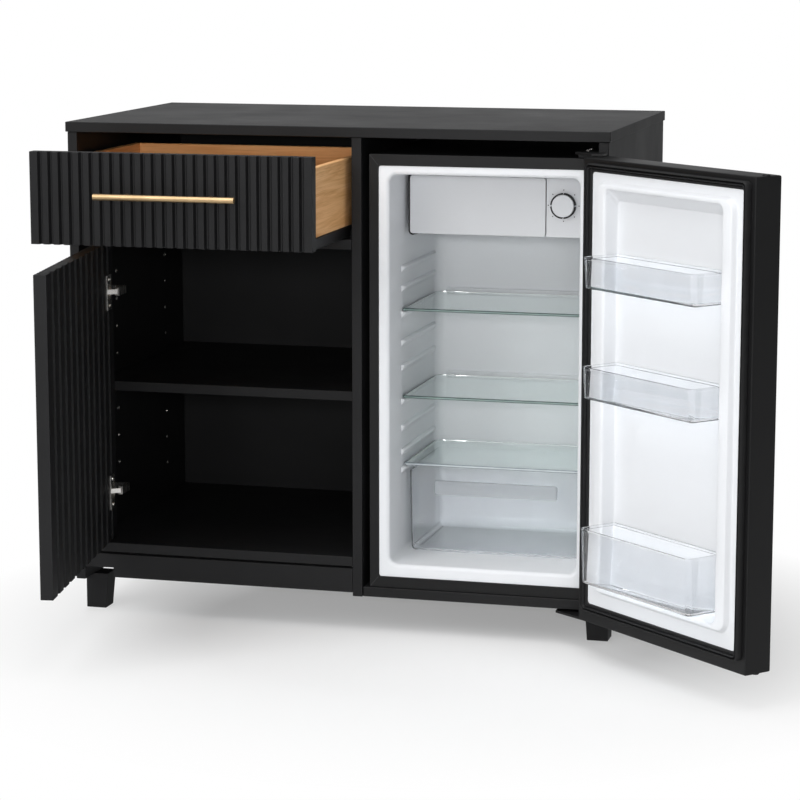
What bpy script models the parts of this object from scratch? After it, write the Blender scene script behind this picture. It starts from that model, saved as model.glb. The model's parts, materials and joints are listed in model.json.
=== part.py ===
"""Coffee bar cabinet with a drawer, a cupboard and a compact fridge, as separate named pieces.

Metres, +Z up, the front faces -Y. Pieces are drawn in the closed position, then the drawer and both
doors are set open to the rest position, and the whole is centred on the floor.
"""
import math

import bmesh
import bpy
from mathutils import Matrix, Vector

# Overall cabinet
WIDTH = 1.000
DEPTH = 0.573
HEIGHT = 0.914
BOARD = 0.018
OVERHANG = 0.003
GAP = 0.0003
EDGE = 0.0010
LEFT_BAY_WIDTH = 0.516
BACK_BOARD = 0.006

# Feet and plinth
FOOT_HEIGHT = 0.066
FOOT_TOP = 0.043
FOOT_TAPER = 0.005
FOOT_INSET = 0.050
PLINTH_LIFT = 0.0067
PLINTH_HEIGHT = 0.044
NOTCH_WIDTH = 0.055
NOTCH_HEIGHT = 0.018

# Cupboard boards
DRAWER_SPACE = 0.181
BOTTOM_GAP = 0.0035
BOTTOM_RECESS = 0.002
SHELF_SPACE = 0.275
SHELF_RECESS = 0.062
SHELF_PLAY = 0.001
BACK_RAIL_HEIGHT = 0.090

# Shelf pins and their rows of holes
PIN_RADIUS = 0.0025
PIN_HOLE_RADIUS = 0.0030
PIN_HOLE_DEPTH = 0.010
PIN_LENGTH = 0.020
PIN_ROWS = (0.187, 0.457)
PIN_PITCH = 0.0525
PIN_STEPS = (-4, -3, -2, -1, 0, 1, 2, 3, 4)

# Fluted fronts
FRONT_THICK = 0.022
FRONT_REVEAL = 0.003
RIB_COUNT = 27
FLUTE_TOP = 0.0085
FLUTE_FLOOR = 0.0030
FLUTE_DEPTH = 0.0070
INNER_RIB_COUNT = 12
INNER_FLUTE_TOP = 0.0160
INNER_FLUTE_FLOOR = 0.0080
INNER_FLUTE_DEPTH = 0.0045

# Cupboard door hinges
CUPBOARD_PIVOT_X = 0.042
CUPBOARD_PIVOT_Y = 0.0145
CUPBOARD_OPEN = math.radians(81.5)
HINGE_INSET = 0.0905
CUP_RADIUS = 0.0175
CUP_DEPTH = 0.0120
CUP_CLEARANCE = 0.0004
FLANGE_HEIGHT = 0.064
FLANGE_WIDTH = 0.035
FLANGE_THICK = 0.0016
ARM_HEIGHT = 0.015
ARM_REACH = 0.057
ARM_THICK = 0.008
ARM_LENGTH = 0.115
ARM_NECK = 0.059
ARM_HOOK = 0.0285
FINGER_RISE = math.radians(40.0)
FINGER_LENGTH = 0.026
FINGER_THICK = 0.004
FINGER_HEIGHT = 0.009
KNUCKLE_RADIUS = 0.003
MOUNT_PLATE_HEIGHT = 0.050

# Drawer
DRAWER_OPEN = 0.232
DRAWER_TOP_GAP = 0.017
DRAWER_SIDE_GAP = 0.013
DRAWER_BOARD = 0.012
DRAWER_BOTTOM_THICK = 0.006
DRAWER_BOTTOM_LIFT = 0.008
DRAWER_BOX_LIFT = 0.022
DRAWER_BOX_TOP_GAP = 0.039
DRAWER_BACK_GAP = 0.0614
RAIL_WIDTH = 0.024
RAIL_HEIGHT = 0.014
RAIL_WALL = 0.002
RAIL_SHORT = 0.040
RUNNER_CLEARANCE = 0.0012

# Drawer handle
HANDLE_LENGTH = 0.253
HANDLE_RISE = 0.0075
HANDLE_RADIUS = 0.0055
HANDLE_STANDOFF = 0.030
POST_RADIUS = 0.0040
POST_RIBS = 4

# Fridge shell
FRIDGE_FREE_GAP = 0.012
FRIDGE_HINGE_GAP = 0.002
FRIDGE_RECESS = 0.008
FRIDGE_TOP_GAP = 0.029
FRIDGE_REAR_SPACE = 0.162
FRAME_WIDTH = 0.020
FRAME_SIDE_WIDTH = 0.017
FRAME_THICK = 0.012
FRAME_CORNER = 0.002
FRAME_INNER_CORNER = 0.004
BODY_CORNER = 0.006
WALL_FREE_SIDE = 0.0362
WALL_HINGE_SIDE = 0.032
WALL_TOP = 0.036
WALL_BOTTOM = 0.0435
WALL_BACK = 0.050
LINER_THICK = 0.002
FLANGE_SET = 0.002
LINER_CORNER = 0.014
FRIDGE_FLOOR_RECESS = 0.004

# Shelf ribs inside the fridge; spare ribs are given as the shelf below and the rise above it
SHELF_RIB_REACH = 0.009
SHELF_RIB_HEIGHT = 0.010
SHELF_RIB_FRONT = 0.085
SPARE_RIBS = (("upper", 0.083), ("upper", 0.047), ("lower", 0.108), ("lower", 0.062), ("crisper", 0.077),
              ("crisper", 0.033))

# Fridge shelves, crisper and freezer
GLASS_THICK = 0.005
GLASS_EDGE = 0.0008
GLASS_SIDE_GAP = 0.0015
GLASS_FRONT = 0.090
GLASS_BACK_GAP = 0.008
CRISPER_SPACE = 0.1629
LOWER_SPACE = 0.126
MIDDLE_SPACE = 0.160
CRISPER_LID_FRONT = 0.100
CRISPER_FRONT = 0.112
CRISPER_SIDE_GAP = 0.008
CRISPER_DRAFT = 0.006
CRISPER_TOP_GAP = 0.002
CRISPER_WALL = 0.0025
CRISPER_CORNER = 0.016
FREEZER_FRONT = 0.112
FREEZER_HEIGHT = 0.115
FREEZER_WALL = 0.003
FREEZER_SIDE_GAP = 0.009
FREEZER_TOP_GAP = 0.010
FLAP_THICK = 0.010
FLAP_CORNER = 0.005
THERMOSTAT_WIDTH = 0.0812
THERMOSTAT_DEPTH = 0.070
THERMOSTAT_PLAY = 0.0015
THERMOSTAT_CORNER = 0.003
KNOB_RADIUS = 0.0200
KNOB_SHIFT = 0.0095
KNOB_RISE = 0.0045
KNOB_THICK = 0.010
KNOB_EDGE = 0.001
KNOB_MARK_WIDTH = 0.002
KNOB_MARK_LENGTH = 0.006
KNOB_MARK_DEPTH = 0.0008

# Fridge door
DOOR_OVERLAP = 0.007
DOOR_HINGE_INSET = 0.006
DOOR_THICK = 0.054
DOOR_DROP = 0.0033
DOOR_TOP_GAP = 0.022
DOOR_EDGE = 0.003
DOOR_CLEAR = 0.004
DOOR_PIVOT_SIDE = 0.008
DOOR_PIVOT_FRONT = 0.026
DOOR_OPEN = math.radians(138.5)
GASKET_INSET = 0.001
GASKET_BAY_GAP = 0.003
GASKET_WIDTH = 0.014
GASKET_CORNER = 0.010
GASKET_INNER_CORNER = 0.004

# Liner of the fridge door: a low ridge near its rim and a dish sunk into the door inside the ridge
DOOR_LINER_THICK = 0.003
DOOR_LINER_CORNER = 0.006
RIDGE_HEIGHT = 0.012
RIDGE_SLOPE = 0.016
RIDGE_INSET = 0.004
RIDGE_BOTTOM_INSET = 0.014
RIDGE_SIDE_CREST = 0.024
RIDGE_END_CREST = 0.008
RIDGE_CORNER = 0.018
DISH_DEPTH = 0.014
DISH_DRAFT = 0.004
DISH_TOP_SLOPE = 0.016
DISH_CORNER = 0.010

# Bins of the fridge door, placed from the ends of the liner
BIN_REACH = 0.064
BIN_SIDE_GAP = 0.0015
BIN_WALL = 0.0025
BIN_CORNER = 0.010
BIN_BACK_CORNER = 0.004
UPPER_BIN_DROP = 0.1897
UPPER_BIN_HEIGHT = 0.054
MIDDLE_BIN_DROP = 0.3777
MIDDLE_BIN_HEIGHT = 0.056
LOWER_BIN_LIFT = 0.0541
LOWER_BIN_HEIGHT = 0.097
LEAST_CORNER = 0.0005

# Fridge hinge brackets and rear parts
BRACKET_THICK = 0.004
BRACKET_PLAY = 0.001
BRACKET_LENGTH = 0.050
BRACKET_WIDTH = 0.040
BRACKET_NOSE = 0.012
HINGE_PIN_RADIUS = 0.004
HINGE_PIN_REACH = 0.014
HINGE_PIN_CLEARANCE = 0.0004
COMPRESSOR_RADIUS = 0.041
COMPRESSOR_HEIGHT = 0.125
TUBE_RADIUS = 0.0025
TUBE_PASSES = 12
TUBE_MARGIN = 0.036
TUBE_PITCH = 0.044

# Positions that follow from the sizes
FRONT = -DEPTH / 2 + OVERHANG
BACK = DEPTH / 2
LEFT_OUT = -WIDTH / 2 + OVERHANG
LEFT_IN = LEFT_OUT + BOARD
RIGHT_OUT = WIDTH / 2 - OVERHANG
RIGHT_IN = RIGHT_OUT - BOARD
DIVIDER_LEFT = LEFT_IN + LEFT_BAY_WIDTH
DIVIDER_RIGHT = DIVIDER_LEFT + BOARD
UNDER_TOP = HEIGHT - BOARD
PANEL_BOTTOM = FOOT_HEIGHT + GAP
PLINTH_Z = (PANEL_BOTTOM + PLINTH_LIFT, PANEL_BOTTOM + PLINTH_LIFT + PLINTH_HEIGHT)
BAY = (LEFT_IN + GAP, DIVIDER_LEFT - GAP)
BACK_FACE = BACK - BACK_BOARD - GAP
BOTTOM_Z = PLINTH_Z[1] + BOTTOM_GAP
SHELF_Z = BOTTOM_Z + BOARD + SHELF_SPACE
DRAWER_BOARD_TOP = UNDER_TOP - DRAWER_SPACE
DRAWER_BOARD_Z = DRAWER_BOARD_TOP - BOARD
CUPBOARD_DOOR_Z = (BOTTOM_Z + BOARD + FRONT_REVEAL, DRAWER_BOARD_Z - FRONT_REVEAL)
HINGE_HEIGHTS = (CUPBOARD_DOOR_Z[0] + HINGE_INSET, CUPBOARD_DOOR_Z[1] - HINGE_INSET)
FRONT_SPAN = (LEFT_IN + FRONT_REVEAL, DIVIDER_LEFT - FRONT_REVEAL)
RIB_PITCH = (FRONT_SPAN[1] - FRONT_SPAN[0]) / RIB_COUNT
DRAWER_FRONT_Z = (DRAWER_BOARD_TOP + FRONT_REVEAL, UNDER_TOP - DRAWER_TOP_GAP)
DRAWER_BOX_Y = (FRONT + FRONT_THICK + GAP, BACK_FACE - DRAWER_BACK_GAP)
DRAWER_BOX_Z = (DRAWER_BOARD_TOP + DRAWER_BOX_LIFT, UNDER_TOP - DRAWER_BOX_TOP_GAP)
RAIL_LENGTH = DRAWER_BOX_Y[1] - DRAWER_BOX_Y[0] - RAIL_SHORT

FRIDGE_BAY = (DIVIDER_RIGHT + GAP, RIGHT_IN - GAP)
FRIDGE_FLOOR_Z = (PANEL_BOTTOM, PANEL_BOTTOM + BOARD)
FRIDGE_BOTTOM = FRIDGE_FLOOR_Z[1] + GAP
FRIDGE_TOP = UNDER_TOP - FRIDGE_TOP_GAP
FRIDGE_X = (DIVIDER_RIGHT + FRIDGE_FREE_GAP, RIGHT_IN - FRIDGE_HINGE_GAP)
FRIDGE_Z = (FRIDGE_BOTTOM, FRIDGE_TOP)
FRAME_FACE = FRONT + FRIDGE_RECESS
FRIDGE_BACK = BACK - FRIDGE_REAR_SPACE
INNER_X = (FRIDGE_X[0] + WALL_FREE_SIDE, FRIDGE_X[1] - WALL_HINGE_SIDE)
INNER_Z = (FRIDGE_BOTTOM + WALL_BOTTOM, FRIDGE_TOP - WALL_TOP)
INNER_BACK = FRIDGE_BACK - WALL_BACK
CRISPER_LID_Z = INNER_Z[0] + CRISPER_SPACE
LOWER_SHELF_Z = CRISPER_LID_Z + LOWER_SPACE
UPPER_SHELF_Z = LOWER_SHELF_Z + MIDDLE_SPACE
THERMOSTAT_X = (INNER_X[1] - GAP - THERMOSTAT_WIDTH, INNER_X[1] - GAP)
FREEZER_X = (INNER_X[0] + FREEZER_SIDE_GAP, THERMOSTAT_X[0] - THERMOSTAT_PLAY)
FREEZER_Z = (INNER_Z[1] - FREEZER_HEIGHT, INNER_Z[1] - FREEZER_TOP_GAP)

DOOR_X = (DIVIDER_RIGHT - DOOR_OVERLAP, WIDTH / 2 - DOOR_HINGE_INSET)
DOOR_BOTTOM = PANEL_BOTTOM - DOOR_DROP
DOOR_TOP = UNDER_TOP - DOOR_TOP_GAP
DOOR_Z = (DOOR_BOTTOM, DOOR_TOP)
DOOR_REAR = FRONT - DOOR_CLEAR
DOOR_FACE = DOOR_REAR - DOOR_THICK
FRIDGE_PIVOT = Vector((DOOR_X[1] - DOOR_PIVOT_SIDE, DOOR_FACE + DOOR_PIVOT_FRONT, 0.0))
CUPBOARD_PIVOT = Vector((LEFT_IN + CUPBOARD_PIVOT_X, FRONT + CUPBOARD_PIVOT_Y, 0.0))
FLAP_PIVOT = Vector((FREEZER_X[0], FRAME_FACE + FREEZER_FRONT + FLAP_THICK, FREEZER_Z[1]))

MATERIALS = {}


def clear_scene():
    for item in list(bpy.data.objects):
        bpy.data.objects.remove(item, do_unlink=True)


def material(name, colour, roughness, metallic=0.0, alpha=1.0):
    """Principled material, made once per name."""
    if name not in MATERIALS:
        made = bpy.data.materials.new(name)
        made.use_nodes = True
        shader = made.node_tree.nodes["Principled BSDF"]
        shader.inputs["Base Color"].default_value = (*colour, 1.0)
        shader.inputs["Roughness"].default_value = roughness
        shader.inputs["Metallic"].default_value = metallic
        shader.inputs["Alpha"].default_value = alpha
        made.diffuse_color = (*colour, alpha)
        MATERIALS[name] = made
    return MATERIALS[name]


def black_board():
    return material("black_board", (0.018, 0.018, 0.019), 0.55)


def oak():
    return material("light_oak", (0.62, 0.40, 0.20), 0.55)


def brass():
    return material("brass", (0.78, 0.58, 0.32), 0.30, 1.0)


def nickel():
    return material("nickel", (0.70, 0.69, 0.67), 0.28, 1.0)


def black_steel():
    return material("black_steel", (0.015, 0.015, 0.016), 0.35)


def white_plastic():
    return material("white_plastic", (0.86, 0.88, 0.90), 0.35)


def clear_plastic():
    return material("clear_plastic", (0.85, 0.89, 0.92), 0.08, 0.0, 0.35)


def shelf_glass():
    return material("shelf_glass", (0.74, 0.88, 0.84), 0.04, 0.0, 0.35)


def rubber():
    return material("black_rubber", (0.012, 0.012, 0.012), 0.70)


def add_object(name, mesh, surface, smooth=False):
    mesh.materials.append(surface)
    for face in mesh.polygons:
        face.use_smooth = smooth
    made = bpy.data.objects.new(name, mesh)
    bpy.context.scene.collection.objects.link(made)
    return made


def from_bmesh(name, shape, surface, smooth=False):
    bmesh.ops.recalc_face_normals(shape, faces=shape.faces[:])
    mesh = bpy.data.meshes.new(name)
    shape.to_mesh(mesh)
    shape.free()
    return add_object(name, mesh, surface, smooth)


def block(name, x, y, z, surface, edge=EDGE):
    """Box between the given pairs of limits, with softened edges."""
    shape = bmesh.new()
    corners = [shape.verts.new((a, b, c)) for c in z for b in y for a in x]
    for face in ((0, 2, 3, 1), (4, 5, 7, 6), (0, 1, 5, 4), (2, 6, 7, 3), (0, 4, 6, 2), (1, 3, 7, 5)):
        shape.faces.new([corners[i] for i in face])
    if edge > 0:
        bmesh.ops.bevel(shape, geom=shape.edges[:], offset=edge, segments=2, profile=0.5, affect="EDGES")
    return from_bmesh(name, shape, surface)


def prism(name, outline, axis, span, surface):
    """Closed outline of two coordinates pushed along the third axis."""
    return loft(name, [[spread(axis, u, v, w) for u, v in outline] for w in span], surface)


def spread(axis, u, v, w):
    """Point with w along the named axis and u, v along the other two in order."""
    point = [u, v]
    point.insert("XYZ".index(axis), w)
    return tuple(point)


def loft(name, loops, surface, ring=False, smooth=False):
    """Skin through loops of equal length, capped at both ends or joined into a ring."""
    shape = bmesh.new()
    rows = [[shape.verts.new(point) for point in loop] for loop in loops]
    pairs = list(zip(rows, rows[1:]))
    if ring:
        pairs.append((rows[-1], rows[0]))
    else:
        shape.faces.new(rows[0])
        shape.faces.new(rows[-1])
    for first, second in pairs:
        for i in range(len(first)):
            k = (i + 1) % len(first)
            shape.faces.new((first[i], first[k], second[k], second[i]))
    return from_bmesh(name, shape, surface, smooth)


def circle(centre, radius, axis, count):
    turns = [2 * math.pi * i / count for i in range(count)]
    flat = [(radius * math.cos(t), radius * math.sin(t)) for t in turns]
    return [Vector(centre) + Vector(spread(axis, u, v, 0.0)) for u, v in flat]


def rod(name, start, end, radius, axis, surface, count=24):
    return loft(name, [circle(point, radius, axis, count) for point in (start, end)], surface)


def rounded(u, v, radii, steps=4):
    """Rectangle outline with one radius for each corner, anticlockwise from the low corner."""
    corners = ((u[0], v[0], 180), (u[1], v[0], 270), (u[1], v[1], 0), (u[0], v[1], 90))
    points = []
    for (cu, cv, start), radius in zip(corners, radii):
        mu = cu + radius if cu == u[0] else cu - radius
        mv = cv + radius if cv == v[0] else cv - radius
        for i in range(steps + 1):
            turn = math.radians(start + 90 * i / steps)
            points.append((mu + radius * math.cos(turn), mv + radius * math.sin(turn)))
    return points


def inset(limits, amount):
    return (limits[0] + amount, limits[1] - amount)


def face_loop(x, z, y, radius):
    """Rounded rectangle standing upright at depth y."""
    return [(u, y, v) for u, v in rounded(x, z, (radius,) * 4)]


def flat_loop(x, y, z, radii):
    """Rounded rectangle lying level at height z."""
    return [(u, v, z) for u, v in rounded(x, y, radii)]


def apply_boolean(target, tool, operation):
    """Join or cut with a tool that is then removed."""
    change = target.modifiers.new(operation.lower(), "BOOLEAN")
    change.operation = operation
    change.solver = "EXACT"
    change.object = tool
    view = bpy.context.evaluated_depsgraph_get()
    mesh = bpy.data.meshes.new_from_object(target.evaluated_get(view))
    target.modifiers.clear()
    target.data = mesh
    bpy.data.objects.remove(tool, do_unlink=True)


def join_all(parts):
    """One object out of several shapes, used as a single tool."""
    shape = bmesh.new()
    for part in parts:
        shape.from_mesh(part.data)
    first = parts[0]
    shape.to_mesh(first.data)
    shape.free()
    for part in parts[1:]:
        bpy.data.objects.remove(part, do_unlink=True)
    return first


def hang(pieces, pivot, angle=0.0, axis="Z", shift=(0.0, 0.0, 0.0)):
    """Put the origin of each piece on its joint axis and turn or slide it to the rest position."""
    for piece in pieces:
        piece.data.transform(Matrix.Translation(-pivot))
        piece.location = pivot + Vector(shift)
        piece.rotation_euler["XYZ".index(axis)] = angle


def flutes(span, face, inward, count, top, floor, depth):
    """Points along one fluted face, from the low to the high end."""
    pitch = (span[1] - span[0]) / count
    points = [(span[0], face)]
    for i in range(1, count):
        middle = span[0] + i * pitch
        points.append((middle - top / 2, face))
        points.append((middle - floor / 2, face + inward * depth))
        points.append((middle + floor / 2, face + inward * depth))
        points.append((middle + top / 2, face))
    points.append((span[1], face))
    return points


def carcass():
    board = black_board()
    upright = (PANEL_BOTTOM, UNDER_TOP - GAP)
    block("worktop", (-WIDTH / 2, WIDTH / 2), (-DEPTH / 2, DEPTH / 2), (UNDER_TOP, HEIGHT), board)
    left = block("side_panel_left", (LEFT_OUT, LEFT_IN), (FRONT, BACK_FACE), upright, board)
    block("side_panel_right", (RIGHT_IN, RIGHT_OUT), (FRONT, BACK), upright, board)
    divider = block("divider_panel", (DIVIDER_LEFT, DIVIDER_RIGHT), (FRONT, BACK_FACE), upright, board)
    for panel, face in ((left, LEFT_IN), (divider, DIVIDER_LEFT)):
        apply_boolean(panel, pin_holes(face - PIN_HOLE_DEPTH, face + PIN_HOLE_DEPTH), "DIFFERENCE")
    back_x = (LEFT_OUT, DIVIDER_RIGHT)
    block("back_panel", back_x, (BACK - BACK_BOARD, BACK), (BOTTOM_Z, UNDER_TOP - GAP), board)
    rear = (BACK - BOARD, BACK)
    block("back_rail_top", FRIDGE_BAY, rear, (UNDER_TOP - BACK_RAIL_HEIGHT, UNDER_TOP - GAP), board)
    block("back_rail_bottom", FRIDGE_BAY, rear, (PANEL_BOTTOM, PANEL_BOTTOM + BACK_RAIL_HEIGHT), board)
    floor_y = (FRONT + FRIDGE_FLOOR_RECESS, rear[0] - GAP)
    block("fridge_floor", FRIDGE_BAY, floor_y, FRIDGE_FLOOR_Z, board)
    block("drawer_board", BAY, (FRONT, BACK_FACE), (DRAWER_BOARD_Z, DRAWER_BOARD_TOP), board)
    block("bottom_panel", BAY, (FRONT + BOTTOM_RECESS, BACK_FACE), (BOTTOM_Z, BOTTOM_Z + BOARD), board)
    low, high = PLINTH_Z
    notch = (BAY[0] + NOTCH_WIDTH, low + NOTCH_HEIGHT)
    outline = [(BAY[0], notch[1]), notch, (notch[0], low), (BAY[1], low), (BAY[1], high), (BAY[0], high)]
    prism("plinth_rail", outline, "Y", (FRONT, FRONT + BOARD), board)
    shelf_span = inset((LEFT_IN, DIVIDER_LEFT), SHELF_PLAY)
    shelf_depth = (FRONT + SHELF_RECESS, BACK_FACE - SHELF_PLAY)
    block("shelf", shelf_span, shelf_depth, (SHELF_Z, SHELF_Z + BOARD), board)


def pin_height(step):
    return SHELF_Z - GAP - PIN_RADIUS + step * PIN_PITCH


def pin_holes(start, end):
    holes = []
    for row in PIN_ROWS:
        for step in PIN_STEPS:
            places = [(x, FRONT + row, pin_height(step)) for x in (start, end)]
            holes.append(rod("hole", places[0], places[1], PIN_HOLE_RADIUS, "X", black_board(), 8))
    return join_all(holes)


def shelf_pins():
    inner_end = PIN_LENGTH - PIN_HOLE_DEPTH
    for side, face, outward in (("left", LEFT_IN, -1), ("right", DIVIDER_LEFT, 1)):
        for place, row in zip(("front", "rear"), PIN_ROWS):
            ends = (face + outward * (PIN_HOLE_DEPTH - GAP), face - outward * inner_end)
            points = [(x, FRONT + row, pin_height(0)) for x in ends]
            rod(f"shelf_pin_{place}_{side}", points[0], points[1], PIN_RADIUS, "X", nickel(), 12)


def feet():
    depth_front = (FRONT + FOOT_INSET, FRONT + FOOT_INSET + FOOT_TOP)
    depth_rear = (BACK - FOOT_INSET - FOOT_TOP, BACK - FOOT_INSET)
    ends = (("front", depth_front, (0, -FOOT_TAPER)), ("rear", depth_rear, (FOOT_TAPER, 0)))
    for side, outer, inward in (("left", LEFT_OUT, 1), ("right", RIGHT_OUT, -1)):
        for place, depth, taper in ends:
            loops = []
            for z, shrink in ((0.0, FOOT_TAPER), (FOOT_HEIGHT, 0.0)):
                x = sorted((outer, outer + inward * (FOOT_TOP - shrink)))
                y = depth if shrink == 0 else (depth[0] + taper[0], depth[1] + taper[1])
                loops.append([(x[0], y[0], z), (x[1], y[0], z), (x[1], y[1], z), (x[0], y[1], z)])
            loft(f"foot_{place}_{side}", loops, black_board())


def cupboard_door():
    inner_face = FRONT + FRONT_THICK
    outer_points = flutes(FRONT_SPAN, FRONT, 1, RIB_COUNT, FLUTE_TOP, FLUTE_FLOOR, FLUTE_DEPTH)
    inner_points = flutes(FRONT_SPAN, inner_face, -1, INNER_RIB_COUNT, INNER_FLUTE_TOP, INNER_FLUTE_FLOOR,
                          INNER_FLUTE_DEPTH)
    door = prism("cupboard_door", outer_points + inner_points[::-1], "Z", CUPBOARD_DOOR_Z, black_board())
    moving = [door]
    for name, z in zip(("lower", "upper"), HINGE_HEIGHTS):
        middle = (CUPBOARD_PIVOT.x, inner_face, z)
        pocket_floor = inner_face - CUP_DEPTH - CUP_CLEARANCE
        pocket = rod("pocket", (middle[0], pocket_floor, z), (middle[0], inner_face + CUP_DEPTH, z),
                     CUP_RADIUS + CUP_CLEARANCE, "Y", black_board(), 32)
        apply_boolean(door, pocket, "DIFFERENCE")
        moving.append(hinge_cup(f"hinge_cup_{name}", middle))
        hinge_arm(f"hinge_arm_{name}", z)
    hang(moving, CUPBOARD_PIVOT, -CUPBOARD_OPEN)


def hinge_cup(name, middle):
    """Cup let into the door with a screw flange lying on the inner face."""
    x, face, z = middle
    flange_y = (face + GAP, face + GAP + FLANGE_THICK)
    flange_z = (z - FLANGE_HEIGHT / 2, z + FLANGE_HEIGHT / 2)
    cup = block(name, (x - FLANGE_WIDTH / 2, x + FLANGE_WIDTH / 2), flange_y, flange_z, nickel(), 0.0)
    bowl = rod("bowl", (x, face - CUP_DEPTH, z), (x, flange_y[1] - GAP, z), CUP_RADIUS, "Y", nickel(), 32)
    apply_boolean(cup, bowl, "UNION")
    hollow = rod("hollow", (x, CUPBOARD_PIVOT.y - KNUCKLE_RADIUS - GAP, z), (x, face + CUP_DEPTH, z),
                 CUP_RADIUS - FLANGE_THICK, "Y", nickel(), 32)
    apply_boolean(cup, hollow, "DIFFERENCE")
    return cup


def hinge_arm(name, z):
    """Mounting plate on the side panel with the arm that reaches round the door edge."""
    wall = LEFT_IN + GAP
    hook = ARM_REACH + ARM_THICK
    neck = ARM_NECK + ARM_THICK
    outline = [(wall, FRONT + ARM_NECK), (LEFT_IN + ARM_REACH, FRONT + ARM_NECK),
               (LEFT_IN + ARM_REACH, FRONT + ARM_HOOK), (LEFT_IN + hook, FRONT + ARM_HOOK),
               (LEFT_IN + hook, FRONT + neck), (LEFT_IN + ARM_THICK, FRONT + neck),
               (LEFT_IN + ARM_THICK, FRONT + ARM_LENGTH), (wall, FRONT + ARM_LENGTH)]
    arm = prism(name, outline, "Z", (z - ARM_HEIGHT / 2, z + ARM_HEIGHT / 2), nickel())
    plate_x = (wall, LEFT_IN + FLANGE_THICK)
    plate_y = (FRONT + neck + FLANGE_THICK, FRONT + ARM_LENGTH - FLANGE_THICK)
    plate_z = (z - MOUNT_PLATE_HEIGHT / 2, z + MOUNT_PLATE_HEIGHT / 2)
    apply_boolean(arm, block("plate", plate_x, plate_y, plate_z, nickel(), 0.0), "UNION")
    along = Vector((math.cos(FINGER_RISE), math.sin(FINGER_RISE), 0.0))
    across = Vector((-along.y, along.x, 0.0)) * FINGER_THICK / 2
    tip = Vector((CUPBOARD_PIVOT.x, CUPBOARD_PIVOT.y, 0.0))
    root = tip + along * FINGER_LENGTH
    corners = [(point.x, point.y) for point in (tip - across, root - across, root + across, tip + across)]
    reach = (z - FINGER_HEIGHT / 2, z + FINGER_HEIGHT / 2)
    apply_boolean(arm, prism("finger", corners, "Z", reach, nickel()), "UNION")
    ends = [(tip.x, tip.y, height) for height in reach]
    apply_boolean(arm, rod("knuckle", ends[0], ends[1], KNUCKLE_RADIUS, "Z", nickel(), 20), "UNION")


def drawer():
    face_points = flutes(FRONT_SPAN, FRONT, 1, RIB_COUNT, FLUTE_TOP, FLUTE_FLOOR, FLUTE_DEPTH)
    rear = FRONT + FRONT_THICK
    outline = face_points + [(FRONT_SPAN[1], rear), (FRONT_SPAN[0], rear)]
    moving = [prism("drawer_front", outline, "Z", DRAWER_FRONT_Z, black_board())]
    outer = inset((LEFT_IN, DIVIDER_LEFT), DRAWER_SIDE_GAP)
    inner = inset(outer, DRAWER_BOARD)
    inside = inset(inner, GAP)
    back_y = (DRAWER_BOX_Y[1] - DRAWER_BOARD, DRAWER_BOX_Y[1])
    moving.append(block("drawer_side_left", (outer[0], inner[0]), DRAWER_BOX_Y, DRAWER_BOX_Z, oak()))
    moving.append(block("drawer_side_right", (inner[1], outer[1]), DRAWER_BOX_Y, DRAWER_BOX_Z, oak()))
    moving.append(block("drawer_back", inside, back_y, DRAWER_BOX_Z, oak()))
    floor_z = DRAWER_BOX_Z[0] + DRAWER_BOTTOM_LIFT
    floor_y = (DRAWER_BOX_Y[0], back_y[0] - GAP)
    floor = block("drawer_bottom", inside, floor_y, (floor_z, floor_z + DRAWER_BOTTOM_THICK), oak(), 0.0)
    moving.append(floor)
    rail_z = DRAWER_BOARD_TOP + GAP
    half = RAIL_WIDTH / 2 - RAIL_WALL - RUNNER_CLEARANCE
    run_y = (DRAWER_BOX_Y[0], DRAWER_BOX_Y[0] + RAIL_LENGTH)
    run_z = (rail_z + RAIL_WALL + GAP, DRAWER_BOX_Z[0] - GAP)
    for side, middle in (("left", (outer[0] + inner[0]) / 2), ("right", (inner[1] + outer[1]) / 2)):
        slide_rail(f"slide_rail_{side}", middle, rail_z)
        run_x = (middle - half, middle + half)
        moving.append(block(f"slide_runner_{side}", run_x, run_y, run_z, black_steel()))
    height = (DRAWER_FRONT_Z[0] + DRAWER_FRONT_Z[1]) / 2 + HANDLE_RISE
    moving.append(handle(height))
    origin = Vector(((FRONT_SPAN[0] + FRONT_SPAN[1]) / 2, FRONT, height))
    hang(moving, origin, shift=(0.0, -DRAWER_OPEN, 0.0))


def slide_rail(name, middle, z):
    """Channel that the runner lies in."""
    outer = (middle - RAIL_WIDTH / 2, middle + RAIL_WIDTH / 2)
    inner = inset(outer, RAIL_WALL)
    floor = z + RAIL_WALL
    top = z + RAIL_HEIGHT
    outline = [(outer[0], z), (outer[1], z), (outer[1], top), (inner[1], top), (inner[1], floor),
               (inner[0], floor), (inner[0], top), (outer[0], top)]
    start = FRONT + FRONT_THICK + FRONT_REVEAL
    prism(name, outline, "Y", (start, start + RAIL_LENGTH), black_steel())


def handle(z):
    """Round bar on two posts that stand on the rib faces."""
    centre = (FRONT_SPAN[0] + FRONT_SPAN[1]) / 2
    y = FRONT - HANDLE_STANDOFF
    ends = [(centre + side * HANDLE_LENGTH / 2, y, z) for side in (-1, 1)]
    bar = rod("drawer_handle", ends[0], ends[1], HANDLE_RADIUS, "X", brass(), 24)
    for side in (-1, 1):
        x = centre + side * POST_RIBS * RIB_PITCH
        post = rod("post", (x, y, z), (x, FRONT - GAP, z), POST_RADIUS, "Y", brass(), 20)
        apply_boolean(bar, post, "UNION")
    return bar


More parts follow.
